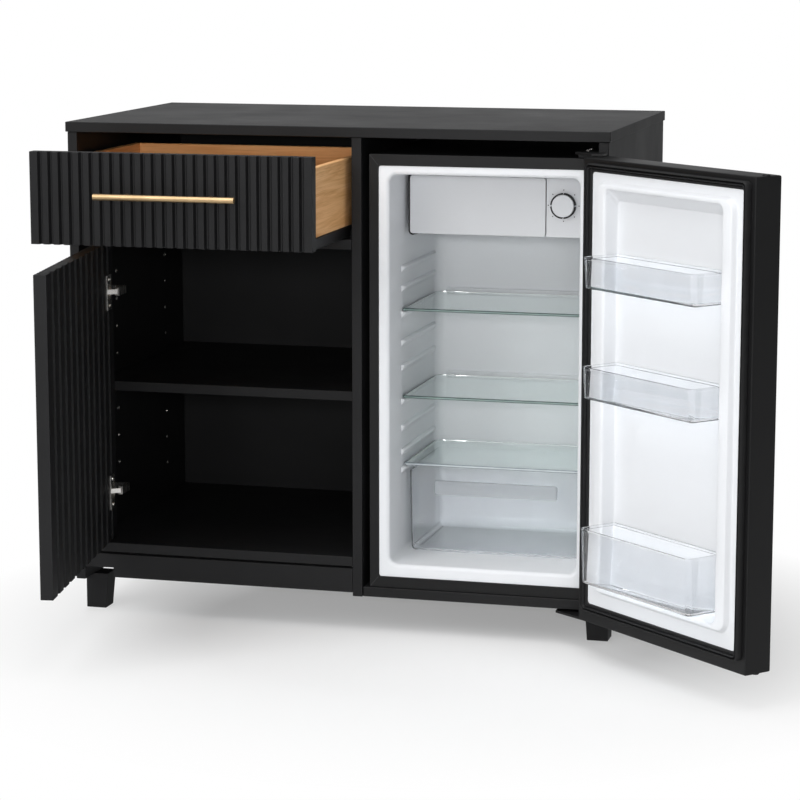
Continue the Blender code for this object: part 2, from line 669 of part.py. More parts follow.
def fridge_shell():
    frame_z = inset(FRIDGE_Z, FRAME_WIDTH)
    frame_x = inset(FRIDGE_X, FRAME_SIDE_WIDTH)
    frame_y = (FRAME_FACE, FRAME_FACE + FRAME_THICK)
    ring = [face_loop(FRIDGE_X, FRIDGE_Z, frame_y[0], FRAME_CORNER),
            face_loop(FRIDGE_X, FRIDGE_Z, frame_y[1], FRAME_CORNER),
            face_loop(frame_x, frame_z, frame_y[1], FRAME_INNER_CORNER),
            face_loop(frame_x, frame_z, frame_y[0], FRAME_INNER_CORNER)]
    loft("fridge_front_frame", ring, black_steel(), ring=True)

    wall_x = inset(INNER_X, -LINER_THICK)
    wall_z = inset(INNER_Z, -LINER_THICK)
    cavity_x = inset(wall_x, -GAP)
    cavity_z = inset(wall_z, -GAP)
    body_front = frame_y[1] + GAP
    cavity_back = INNER_BACK + LINER_THICK + GAP
    body = [face_loop(FRIDGE_X, FRIDGE_Z, FRIDGE_BACK, BODY_CORNER),
            face_loop(FRIDGE_X, FRIDGE_Z, body_front, BODY_CORNER),
            face_loop(cavity_x, cavity_z, body_front, LINER_CORNER),
            face_loop(cavity_x, cavity_z, cavity_back, LINER_CORNER)]
    loft("fridge_body", body, black_steel())

    flange_x = inset(frame_x, GAP)
    flange_z = inset(frame_z, GAP)
    flange_y = (FRAME_FACE + FLANGE_SET, FRAME_FACE + FLANGE_SET + LINER_THICK)
    liner = [face_loop(INNER_X, INNER_Z, INNER_BACK, LINER_CORNER),
             face_loop(INNER_X, INNER_Z, flange_y[0], LINER_CORNER),
             face_loop(flange_x, flange_z, flange_y[0], FRAME_INNER_CORNER),
             face_loop(flange_x, flange_z, flange_y[1], FRAME_INNER_CORNER),
             face_loop(wall_x, wall_z, flange_y[1], LINER_CORNER),
             face_loop(wall_x, wall_z, INNER_BACK + LINER_THICK, LINER_CORNER)]
    lining = loft("fridge_liner", liner, white_plastic())
    apply_boolean(lining, shelf_ribs(), "UNION")


def shelf_ribs():
    """Moulded ledges along both side walls: one under each shelf and spare ones between."""
    ribs = []
    shelves = {"upper": UPPER_SHELF_Z, "lower": LOWER_SHELF_Z, "crisper": CRISPER_LID_Z}
    tops = [z - GAP for z in shelves.values()] + [shelves[name] + rise for name, rise in SPARE_RIBS]
    depth = (FRAME_FACE + SHELF_RIB_FRONT, INNER_BACK - GLASS_BACK_GAP)
    sides = ((INNER_X[0] - LINER_THICK / 2, INNER_X[0] + SHELF_RIB_REACH),
             (INNER_X[1] - SHELF_RIB_REACH, INNER_X[1] + LINER_THICK / 2))
    for top in tops:
        for x in sides:
            ribs.append(block("rib", x, depth, (top - SHELF_RIB_HEIGHT, top), white_plastic(), 0.0))
    return join_all(ribs)


def fridge_inside():
    glass_x = inset(INNER_X, GLASS_SIDE_GAP)
    glass_back = INNER_BACK - GLASS_BACK_GAP
    plates = (("glass_shelf_upper", UPPER_SHELF_Z, GLASS_FRONT),
              ("glass_shelf_lower", LOWER_SHELF_Z, GLASS_FRONT),
              ("crisper_lid", CRISPER_LID_Z, CRISPER_LID_FRONT))
    for name, z, front in plates:
        glass_y = (FRAME_FACE + front, glass_back)
        block(name, glass_x, glass_y, (z, z + GLASS_THICK), shelf_glass(), GLASS_EDGE)

    bin_x = inset(INNER_X, CRISPER_SIDE_GAP)
    bin_y = (FRAME_FACE + CRISPER_FRONT, glass_back - GLASS_BACK_GAP)
    bin_z = (INNER_Z[0] + GAP, CRISPER_LID_Z - SHELF_RIB_HEIGHT - CRISPER_TOP_GAP)
    crisper = tub("crisper_bin", bin_x, bin_y, bin_z, CRISPER_WALL, (CRISPER_CORNER,) * 4, CRISPER_DRAFT,
                  clear_plastic())
    hang([crisper], Vector(((bin_x[0] + bin_x[1]) / 2, bin_y[0], bin_z[0])))


def tub(name, x, y, z, wall, radii, draft, surface):
    """Open-topped container with a floor, walls of even thickness and slightly drawn-in lower edges."""
    low = (inset(x, draft), inset(y, draft))
    inner_radii = [max(radius - wall, LEAST_CORNER) for radius in radii]
    loops = [flat_loop(*low, z[0], radii), flat_loop(x, y, z[1], radii),
             flat_loop(inset(x, wall), inset(y, wall), z[1], inner_radii),
             flat_loop(inset(low[0], wall), inset(low[1], wall), z[0] + wall, inner_radii)]
    return loft(name, loops, surface)


def freezer():
    front = FRAME_FACE + FREEZER_FRONT
    shell_y = (front + FLAP_THICK + GAP, INNER_BACK - GAP)
    shell_z = (FREEZER_Z[0], INNER_Z[1] - GAP)
    inner_x = inset(FREEZER_X, FREEZER_WALL)
    inner_z = inset(shell_z, FREEZER_WALL)
    corner = LINER_CORNER - FREEZER_WALL
    shell = [face_loop(FREEZER_X, shell_z, shell_y[1], LINER_CORNER),
             face_loop(FREEZER_X, shell_z, shell_y[0], LINER_CORNER),
             face_loop(inner_x, inner_z, shell_y[0], corner),
             face_loop(inner_x, inner_z, shell_y[1] - FREEZER_WALL, corner)]
    loft("freezer_box", shell, white_plastic())
    outline = rounded(inset(FREEZER_X, GAP), FREEZER_Z, (FLAP_CORNER,) * 4)
    flap = prism("freezer_flap", outline, "Y", (front, front + FLAP_THICK), white_plastic())
    hang([flap], FLAP_PIVOT)

    panel_z = (FREEZER_Z[0], INNER_Z[1] - GAP)
    corners = (THERMOSTAT_CORNER, THERMOSTAT_CORNER, LINER_CORNER + THERMOSTAT_PLAY, THERMOSTAT_CORNER)
    outline = rounded(THERMOSTAT_X, panel_z, corners)
    prism("thermostat_panel", outline, "Y", (front, front + THERMOSTAT_DEPTH), white_plastic())
    knob_x = sum(THERMOSTAT_X) / 2 - KNOB_SHIFT
    knob_z = sum(FREEZER_Z) / 2 + KNOB_RISE
    thermostat_knob(Vector((knob_x, front - GAP, knob_z)))


def thermostat_knob(centre):
    """Round disc with a notch in its face near the rim that points to the setting."""
    shoulder = KNOB_THICK - KNOB_EDGE
    profile = ((0.0, KNOB_RADIUS), (shoulder, KNOB_RADIUS), (KNOB_THICK, KNOB_RADIUS - KNOB_EDGE))
    loops = [circle(centre - Vector((0, out, 0)), radius, "Y", 40) for out, radius in profile]
    knob = loft("thermostat_knob", loops, white_plastic())
    mark_x = (centre.x - KNOB_MARK_WIDTH / 2, centre.x + KNOB_MARK_WIDTH / 2)
    mark_y = (centre.y - KNOB_THICK - KNOB_EDGE, centre.y - KNOB_THICK + KNOB_MARK_DEPTH)
    mark_top = centre.z + KNOB_RADIUS - 2 * KNOB_EDGE
    mark = block("mark", mark_x, mark_y, (mark_top - KNOB_MARK_LENGTH, mark_top), white_plastic(), 0.0)
    apply_boolean(knob, mark, "DIFFERENCE")
    hang([knob], centre)


def fridge_door():
    shell = block("fridge_door_shell", DOOR_X, (DOOR_FACE, DOOR_REAR), DOOR_Z, black_steel(), DOOR_EDGE)
    socket_radius = HINGE_PIN_RADIUS + HINGE_PIN_CLEARANCE
    for z, reach in ((DOOR_TOP, -HINGE_PIN_REACH), (DOOR_BOTTOM, HINGE_PIN_REACH)):
        ends = [(FRIDGE_PIVOT.x, FRIDGE_PIVOT.y, z + reach * share) for share in (-0.5, 1.1)]
        socket = rod("socket", ends[0], ends[1], socket_radius, "Z", black_steel(), 20)
        apply_boolean(shell, socket, "DIFFERENCE")
    moving = [shell]

    seal_x = inset((DIVIDER_RIGHT, RIGHT_IN), GASKET_BAY_GAP)
    seal_z = inset(FRIDGE_Z, GASKET_INSET)
    seat = DOOR_REAR + GAP
    lift = FRAME_FACE - GAP - seat
    section = ((0.0, 0.0), (0.0, 0.7), (0.12, 1.0), (0.30, 1.0), (0.40, 0.6), (0.52, 0.6), (0.62, 0.95),
               (0.78, 0.95), (1.0, 0.3), (1.0, 0.0))
    ring = []
    for across, up in section:
        corner = GASKET_CORNER + (GASKET_INNER_CORNER - GASKET_CORNER) * across
        step = GASKET_WIDTH * across
        ring.append(face_loop(inset(seal_x, step), inset(seal_z, step), seat + lift * up, corner))
    moving.append(loft("fridge_door_gasket", ring, rubber(), ring=True))

    sheet_x = inset(seal_x, GASKET_WIDTH + GAP)
    sheet_z = inset(seal_z, GASKET_WIDTH + GAP)
    dish_x = inset(sheet_x, RIDGE_INSET + RIDGE_SLOPE + RIDGE_SIDE_CREST + DISH_DRAFT)
    dish_floor = seat - DISH_DEPTH
    moving.append(door_liner(shell, sheet_x, sheet_z, seat, dish_x, dish_floor))

    bin_x = inset(dish_x, BIN_SIDE_GAP)
    bin_y = (dish_floor + GAP, seat + BIN_REACH)
    bins = (("door_bin_upper", sheet_z[1] - UPPER_BIN_DROP, UPPER_BIN_HEIGHT),
            ("door_bin_middle", sheet_z[1] - MIDDLE_BIN_DROP, MIDDLE_BIN_HEIGHT),
            ("door_bin_lower", sheet_z[0] + LOWER_BIN_LIFT, LOWER_BIN_HEIGHT))
    for name, z, height in bins:
        moving.append(door_bin(name, bin_x, bin_y, (z, z + height)))
    hang(moving, FRIDGE_PIVOT, DOOR_OPEN)


def door_liner(shell, sheet_x, sheet_z, seat, dish_x, dish_floor):
    """White sheet with a sloped ridge round a dish, let into a pocket of the door."""
    top = seat + DOOR_LINER_THICK
    crest = seat + RIDGE_HEIGHT
    foot_x = inset(sheet_x, RIDGE_INSET)
    foot_z = (sheet_z[0] + RIDGE_BOTTOM_INSET, sheet_z[1] - RIDGE_INSET)
    outer_x = inset(foot_x, RIDGE_SLOPE)
    outer_z = inset(foot_z, RIDGE_SLOPE)
    inner_x = inset(outer_x, RIDGE_SIDE_CREST)
    inner_z = inset(outer_z, RIDGE_END_CREST)
    dish_z = (inner_z[0] + DISH_DRAFT, inner_z[1] - DISH_TOP_SLOPE)
    back = dish_floor - DOOR_LINER_THICK
    loops = [face_loop(inner_x, inner_z, back, DISH_CORNER),
             face_loop(inner_x, inner_z, seat, DISH_CORNER),
             face_loop(sheet_x, sheet_z, seat, DOOR_LINER_CORNER),
             face_loop(sheet_x, sheet_z, top, DOOR_LINER_CORNER),
             face_loop(foot_x, foot_z, top, RIDGE_CORNER + RIDGE_SLOPE),
             face_loop(outer_x, outer_z, crest, RIDGE_CORNER),
             face_loop(inner_x, inner_z, crest, DISH_CORNER),
             face_loop(dish_x, dish_z, dish_floor, DISH_CORNER)]
    liner = loft("fridge_door_liner", loops, white_plastic())
    room_x = inset(inner_x, -GAP)
    room_z = inset(inner_z, -GAP)
    room = [face_loop(room_x, room_z, y, DISH_CORNER) for y in (back - GAP, top)]
    apply_boolean(shell, loft("pocket", room, black_steel()), "DIFFERENCE")
    return liner


def door_bin(name, x, y, z):
    """Clear bin whose back stands straight against the door and whose front leans in towards the floor."""
    radii = (BIN_BACK_CORNER, BIN_BACK_CORNER, BIN_CORNER, BIN_CORNER)
    low_y = (y[0], y[1] - BIN_WALL)
    inner_radii = [max(radius - BIN_WALL, LEAST_CORNER) for radius in radii]
    loops = [flat_loop(x, low_y, z[0], radii), flat_loop(x, y, z[1], radii),
             flat_loop(inset(x, BIN_WALL), inset(y, BIN_WALL), z[1], inner_radii),
             flat_loop(inset(x, BIN_WALL), inset(low_y, BIN_WALL), z[0] + BIN_WALL, inner_radii)]
    return loft(name, loops, clear_plastic())


def hinge_brackets():
    corner_x = DOOR_X[1] + BRACKET_PLAY
    nose_x = FRIDGE_PIVOT.x - BRACKET_NOSE
    nose_y = FRIDGE_PIVOT.y - DOOR_PIVOT_SIDE
    ahead = FRONT - OVERHANG
    inner = RIGHT_IN - GAP
    upper_y = FRAME_FACE + FRAME_THICK + BRACKET_LENGTH
    upper = [(inner - BRACKET_WIDTH, upper_y), (inner - BRACKET_WIDTH, ahead), (nose_x, nose_y),
             (corner_x, nose_y), (corner_x, ahead), (inner, ahead), (inner, upper_y)]
    plate_z = (DOOR_TOP + BRACKET_PLAY, DOOR_TOP + BRACKET_PLAY + BRACKET_THICK)
    foot_x = inset((inner - BRACKET_WIDTH, inner), BRACKET_PLAY)
    foot_x = (foot_x[0], min(foot_x[1], FRIDGE_X[1]))
    foot_y = (FRAME_FACE + FRAME_THICK + BRACKET_PLAY, upper_y - BRACKET_PLAY)
    bracket("fridge_hinge_top", upper, plate_z, foot_x, foot_y, (FRIDGE_TOP + GAP, plate_z[1] - BRACKET_PLAY),
            (DOOR_TOP - HINGE_PIN_REACH, plate_z[1] - BRACKET_PLAY))

    base_right = RIGHT_OUT - FOOT_TOP - BRACKET_THICK
    lower_y = FRAME_FACE + FRAME_THICK + BRACKET_WIDTH / 2
    base_left = base_right - BRACKET_WIDTH
    lower = [(base_left, lower_y), (base_left, FRAME_FACE), (nose_x, nose_y), (corner_x, nose_y),
             (corner_x, ahead), (base_right, FRAME_FACE), (base_right, lower_y)]
    plate_z = (DOOR_BOTTOM - BRACKET_PLAY - BRACKET_THICK, DOOR_BOTTOM - BRACKET_PLAY)
    foot_x = inset((base_left, base_right), BRACKET_PLAY)
    foot_y = (FRAME_FACE + FRAME_THICK + BRACKET_PLAY, lower_y - BRACKET_PLAY)
    foot_z = (plate_z[0] + BRACKET_PLAY, PANEL_BOTTOM - GAP)
    pin_z = (plate_z[0] + BRACKET_PLAY, DOOR_BOTTOM + HINGE_PIN_REACH)
    bracket("fridge_hinge_bottom", lower, plate_z, foot_x, foot_y, foot_z, pin_z)


def bracket(name, outline, plate_z, foot_x, foot_y, foot_z, pin_z):
    """Flat hinge plate with a riser that meets the fridge and a pin that enters the door."""
    plate = prism(name, outline, "Z", plate_z, black_steel())
    riser = block("riser", foot_x, foot_y, foot_z, black_steel(), 0.0)
    apply_boolean(plate, riser, "UNION")
    pin = rod("pin", (FRIDGE_PIVOT.x, FRIDGE_PIVOT.y, pin_z[0]), (FRIDGE_PIVOT.x, FRIDGE_PIVOT.y, pin_z[1]),
              HINGE_PIN_RADIUS, "Z", black_steel(), 20)
    apply_boolean(plate, pin, "UNION")


def fridge_rear():
    middle_x = (FRIDGE_X[0] + FRIDGE_X[1]) / 2
    y = FRIDGE_BACK + COMPRESSOR_RADIUS + BRACKET_PLAY
    foot = FRIDGE_BOTTOM
    profile = ((0.0, 0.80), (0.05, 0.97), (0.15, 1.0), (0.70, 1.0), (0.85, 0.93), (0.95, 0.70), (1.0, 0.35))
    loops = [circle((middle_x, y, foot + COMPRESSOR_HEIGHT * up), COMPRESSOR_RADIUS * out, "Z", 28)
             for up, out in profile]
    loft("compressor", loops, black_steel(), smooth=True)
    condenser(middle_x, FRIDGE_BACK + GAP + TUBE_RADIUS)


def condenser(middle_x, y):
    """Tube bent to and fro across the back of the fridge."""
    bend = TUBE_PITCH / 2
    straight = (FRIDGE_X[1] - FRIDGE_X[0]) / 2 - TUBE_MARGIN - bend
    low = (FRIDGE_BOTTOM + FRIDGE_TOP - TUBE_PITCH * (TUBE_PASSES - 1)) / 2 + BACK_RAIL_HEIGHT / 2
    path = []
    for i in range(TUBE_PASSES):
        z = low + i * TUBE_PITCH
        toward = 1 if i % 2 == 0 else -1
        path.append((middle_x - toward * straight, z, 0.0 if toward > 0 else math.pi))
        path.append((middle_x + toward * straight, z, 0.0 if toward > 0 else math.pi))
        if i < TUBE_PASSES - 1:
            for k in range(1, 6):
                turn = math.pi * k / 6
                x = middle_x + toward * (straight + bend * math.sin(turn))
                heading = turn if toward > 0 else math.pi - turn
                path.append((x, z + bend - bend * math.cos(turn), heading))
    loops = []
    out = Vector((0.0, 1.0, 0.0)) * TUBE_RADIUS
    turns = [2 * math.pi * i / 8 for i in range(8)]
    for x, z, heading in path:
        across = Vector((-math.sin(heading), 0.0, math.cos(heading))) * TUBE_RADIUS
        centre = Vector((x, y, z))
        loops.append([centre + math.cos(turn) * across + math.sin(turn) * out for turn in turns])
    loft("condenser_tube", loops, black_steel(), smooth=True)


def centre_on_floor():
    """Shift everything so that the middle of the bounding box stands over the origin."""
    bpy.context.view_layer.update()
    pieces = [item for item in bpy.data.objects if item.type == "MESH"]
    points = [item.matrix_world @ vertex.co for item in pieces for vertex in item.data.vertices]
    middle = [(min(p[i] for p in points) + max(p[i] for p in points)) / 2 for i in range(2)]
    for item in pieces:
        item.location -= Vector((middle[0], middle[1], 0.0))
    bpy.context.view_layer.update()


def build():
    clear_scene()
    carcass()
    shelf_pins()
    feet()
    cupboard_door()
    drawer()
    fridge_shell()
    fridge_inside()
    freezer()
    fridge_door()
    hinge_brackets()
    fridge_rear()
    centre_on_floor()


build()
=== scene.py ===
"""Looks of the coffee bar cabinet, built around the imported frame. Metres, +Z up, the front faces -Y."""
import json
import math

import bmesh
import bpy
from mathutils import Matrix, Vector


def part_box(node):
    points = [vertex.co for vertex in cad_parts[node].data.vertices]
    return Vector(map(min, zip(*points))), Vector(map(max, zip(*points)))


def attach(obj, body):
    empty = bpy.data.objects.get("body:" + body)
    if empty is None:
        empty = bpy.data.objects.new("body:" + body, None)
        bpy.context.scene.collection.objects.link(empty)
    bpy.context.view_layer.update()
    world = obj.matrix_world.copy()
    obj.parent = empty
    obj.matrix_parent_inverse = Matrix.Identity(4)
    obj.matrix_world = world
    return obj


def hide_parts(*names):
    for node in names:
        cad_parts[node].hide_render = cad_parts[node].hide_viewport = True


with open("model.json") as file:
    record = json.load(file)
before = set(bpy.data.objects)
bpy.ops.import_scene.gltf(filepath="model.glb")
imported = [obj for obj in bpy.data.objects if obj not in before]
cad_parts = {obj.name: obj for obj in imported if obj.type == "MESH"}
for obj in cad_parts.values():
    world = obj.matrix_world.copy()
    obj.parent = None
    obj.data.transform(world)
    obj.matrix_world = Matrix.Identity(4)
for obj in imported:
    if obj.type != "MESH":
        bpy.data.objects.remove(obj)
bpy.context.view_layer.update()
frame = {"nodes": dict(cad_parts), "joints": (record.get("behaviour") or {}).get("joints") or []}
NODES = frame["nodes"]
JOINTS = {joint["name"]: joint for joint in frame["joints"]}

# Camera that matches the photograph
CAMERA_PLACE = (1.1803, -4.6654, 1.2593)
CAMERA_YAW = 0.2588
CAMERA_PITCH = 0.1721
CAMERA_LENS = 122.25
SENSOR_WIDTH = 36.0

# Studio: the floor's glow grows between two distances from the middle
WORLD_COLOUR = (0.96, 0.98, 1.0, 1.0)
WORLD_STRENGTH = 0.20
BACKDROP_COLOUR = (1.0, 1.0, 1.0, 1.0)
BACKDROP_GLOSS = 0.20
FLOOR_SIZE = 60.0
FLOOR_PAPER = (0.935, 0.940, 0.945)
FLOOR_GLOW = 0.26
FLOOR_NEAR = 0.42
FLOOR_FAR = 0.95

# Lamps: place, target, width, height and power
LAMPS = {
    "key": ((-2.4, -3.6, 2.9), (0.0, 0.0, 0.45), 2.6, 2.6, 80.0),
    "front": ((0.7, -5.2, 1.45), (0.0, 0.0, 0.60), 3.0, 0.5, 82.0),
    "top": ((-0.3, -1.1, 3.6), (0.0, -0.2, 0.40), 2.8, 2.8, 72.0),
    "back": ((-1.1, 3.6, 1.2), (-0.2, 0.2, 0.90), 2.2, 1.0, 4.0),
    "rear": ((-1.6, 4.2, 0.50), (-0.1, 0.4, 0.50), 2.8, 0.7, 50.0),
}

# Clearances of the frame
TOUCH_GAP = 0.0003
SHELF_PLAY = 0.0015

# Colours, linear: a surface drifts between the two given, or between the first and last of three, where the
# middle one is the mean. A single number is a level of grey or white; blue, cast, drift and the edges' wear
# with painted sheen are factors
GREY_BLUE = 1.05
WHITE_CAST = (0.982, 1.0, 1.030)
BOARD_BLACK = (0.0094, 0.0108, 0.0126)
# Level of the lighter edges of the boards: rubbed wear and a painted edge highlight
BOARD_WORN_AND_SHEEN = 0.034
OAK_MEAN = (0.88, 0.48, 0.20)
OAK_EARLY = ((0.90, 0.490, 0.210), (0.95, 0.570, 0.270))
OAK_LATE = (0.76, 0.375, 0.140)
OAK_PORE = (0.56, 0.265, 0.095)
BRASS = ((0.54, 0.38, 0.21), (0.47, 0.33, 0.18))
NICKEL = ((0.72, 0.70, 0.67), (0.60, 0.585, 0.56))
ENAMEL_BLACK = 0.0068
# Level of the frame's seams: lighter than the frame as a painted highlight line
ENAMEL_SEAM_HIGHLIGHT = 0.030
ENAMEL_DRIFT = (0.85, 1.2)
# Factor for the lighter edges of the enamel: wear and a painted edge highlight
ENAMEL_WEAR_AND_SHEEN = 3.5
SHEET_WHITE = 0.80
# Level of a darker copy of the white sheet: painted shade for the recessed flap and the thermostat
SHEET_SHADED = 0.66
SHEET_DRIFT = (0.99, 1.01)
CLEAR = ((0.874, 0.875, 0.878), (0.886, 0.887, 0.890), (0.898, 0.899, 0.902))
CLEAR_SHADOW = (0.86, 0.88, 0.90)
GLASS = ((0.89, 0.950, 0.938), (0.90, 0.96, 0.945), (0.92, 0.965, 0.955))
GLASS_SHADOW = (0.86, 0.92, 0.90)
RUBBER = (0.0070, 0.0085, 0.0115)
INK_AND_GAP_SHADE = (0.009, 0.012, 0.020)

# Edges of glass, painted as glass looks end on: the band, lit by painted light carried along the glass, and
# the arrises, painted dark as reflections; and the factor for the darkest parts of the band
GREEN_EDGE_PAINTED = ((0.25, 0.33, 0.31), (0.030, 0.065, 0.057))
CLEAR_EDGE_PAINTED = ((0.60, 0.64, 0.67), (0.22, 0.26, 0.28))
EDGE_DEPTH = 0.82

# Haze of clear plastic, and the edge mask for wear and painted highlights along edges
CLEAR_HAZE = 0.01
FROSTED_HAZE = 0.32
WEAR_AND_SHEEN_SAMPLES = 6
WEAR_AND_SHEEN_SHARPNESS = 0.25

# Colour sockets of the Mix node
MIX_COLOURS = (6, 7)
MIX_RESULT = 2

# Edges of the CAD nodes
WELD_REACH = 0.00002
FLAT_ANGLE = math.radians(0.5)
EDGE_ROUND = 0.0007
EDGE_STEPS = 3
SMOOTH_ANGLE = math.radians(32.0)

# Steps of curves
CURVE_STEPS = 6
SMALL_STEPS = 5
TINY_STEPS = 4
DOOR_STEPS = 8
SLOPE_STEPS = 10
MARK_STEPS = 14
TURN_STEPS = 28

# Rows of shelf pin holes
PIN_PITCH = 0.0525
PIN_STEPS = (-4, -3, -2, -1, 1, 2, 3, 4)
SLEEVE_RADIUS = 0.0038
SLEEVE_BORE = 0.0026
SLEEVE_LIP = 0.0003
SLEEVE_PROUD = 0.0005
SLEEVE_DEPTH = 0.006

# Screws: the head's section and its cross are shares of radius and rise, and a screw of its own is both.
# PLATE_SCREW_DEPTH and the bracket's side and depths are shares of the piece that is screwed on
SCREW_RADIUS = 0.0040
SCREW_RISE = 0.0016
HEAD_SECTION = ((1.0, 0.0), (1.0, 0.35), (0.86, 0.75))
CROSS_ARM = 0.16
CROSS_REACH = 0.55
CROSS_FLOOR = (0.80, 0.25)
PLATE_THICK = 0.0016
PLATE_SCREW_REACH = 0.019
PLATE_SCREW_DEPTH = 0.80
ARM_RISE = 0.008
ARM_SCREW = (0.0045, 0.0012)
CUP_SCREW_REACH = 0.024
BRACKET_SCREW = (0.0045, 0.0020)
BRACKET_SCREW_SIDE = 0.30
BRACKET_SCREW_DEPTHS = (0.12, 0.38)

# Thermostat marks: the dots are print, and the dark ring stands for the shade in the gap round the knob, as
# painted shade; the ring's rise is a share of the knob's
RING_GAP = 0.0006
RING_WIDTH = 0.0022
RING_RISE = 0.85
RING_BREAK = math.radians(8.0)
DOT_COUNT = 8
DOT_RADIUS = 0.0010
DOT_ORBIT = 0.0278
MARK_RISE = 0.0002

# Dark strip painted as the shade in the gap at the free end and the foot of the freezer flap
GAP_SHADE_WIDTH = 0.0031
GAP_SHADE_FRONT = 0.0015
GAP_SHADE_FOOT = 0.016
GAP_SHADE_CORNER = 0.005

# Moulded liner of the fridge: a rib's section is a drop and a share of the reach at each point, and spare
# ribs are given as the plate below and the rise above it
LINER_THICK = 0.002
FLANGE_CORNER = 0.004
MOUTH_ROUND = 0.0075
WALL_CORNER = 0.014
BACK_CORNER = 0.022
RIB_REACH = 0.0070
RIB_FRONT = 0.083
RIB_NOSE = 0.010
RIB_TAIL = 0.014
RIB_SECTION = ((0.0140, 0.0), (0.0120, 0.12), (0.0095, 0.48), (0.0070, 0.82), (0.0045, 0.97), (0.0025, 0.95),
               (0.0010, 0.70), (0.0003, 0.35), (0.0, 0.0))
SPARE_RIBS = (("glass_shelf_upper", 0.083), ("glass_shelf_upper", 0.047), ("glass_shelf_lower", 0.108),
              ("glass_shelf_lower", 0.062), ("crisper_lid", 0.077), ("crisper_lid", 0.033))
LEDGE_REACH = 0.006
LEDGE_CORNER = LEDGE_REACH / 3
LEDGE_EDGE = LEDGE_REACH / 4
LEDGE_DROP = 0.001
LEDGE_RISE = 0.007

# Glass shelves and crisper lid
PLATES = ("glass_shelf_upper", "glass_shelf_lower", "crisper_lid")
GLASS_PLAY = TOUCH_GAP / 3
GLASS_BAND = 0.0034
GLASS_CHAMFER = 0.0012
GLASS_FRONT_CORNER = 0.003
GLASS_BACK_CORNER = 0.020

# Moulded liner of the fridge door, as the frame has it, with rounded edges and a steeper ridge
DOOR_LINER_THICK = 0.003
DOOR_LINER_CORNER = 0.006
RIDGE_HEIGHT = 0.012
RIDGE_SLOPE = 0.007
RIDGE_INSET = 0.013
RIDGE_BOTTOM_INSET = 0.023
RIDGE_SIDE_CREST = 0.024
RIDGE_END_CREST = 0.008
RIDGE_CORNER = 0.018
CREST_ROUND = 0.006
DISH_DRAFT = 0.004
DISH_TOP_SLOPE = 0.016
DISH_CORNER = 0.010
DISH_ROUND = 0.004

# Bins and crisper: foot, rim and lip take shares of the lean, and the foot's bend is a rise and an inset
# as shares of its round
WALL = 0.0022
RIM_HEIGHT = 0.005
RIM_PROUD = 0.0010
BIN_CORNER = 0.010
BIN_BACK_CORNER = 0.004
BIN_LEAN = 0.0035
FOOT_LEAN = 0.97
RIM_LEAN = 0.10
LIP_LEAN = 0.08
FOOT_ROUND = 0.003
FOOT_BEND = (0.30, 0.35)
LEAST_CORNER = 0.0006
CRISPER_CORNER = 0.008
CRISPER_DRAFT = 0.003
CRISPER_FOOT = 0.010
LIP_GAP = 0.0015
LIP_SHOULDER = 0.002
GRIP_SHARE = 0.70
GRIP_HEIGHT = 0.026
GRIP_DROP = 0.016
GRIP_PROUD = 0.0030
GRIP_SHOULDER = 0.7 * GRIP_PROUD
GRIP_CORNER = 0.005

# Gasket of the fridge door: its section as shares of the width and the lift
GASKET_WIDTH = 0.014
GASKET_CORNERS = (0.010, 0.004)
GASKET_SECTION = ((0.0, 0.0), (0.0, 0.60), (0.05, 0.88), (0.10, 1.0), (0.17, 1.0), (0.22, 0.88),
                  (0.25, 0.42), (0.30, 0.36), (0.35, 0.42), (0.38, 0.84), (0.42, 0.94), (0.49, 0.94),
                  (0.53, 0.84), (0.56, 0.40), (0.61, 0.34), (0.66, 0.40), (0.70, 0.50), (0.92, 0.46),
                  (1.0, 0.30), (1.0, 0.0))

# Small parts of the fridge: the plug's section is in shares of its radius and rise
MITRE_WIDTH = 0.0008
MITRE_RISE = 0.00015
MITRE_END = 0.002
PLUG_RADIUS = 0.0065
PLUG_RISE = 0.0018
PLUG_SECTION = ((1.0, 0.0), (1.0, 0.5), (0.85, 1.0), (0.4, 1.0))


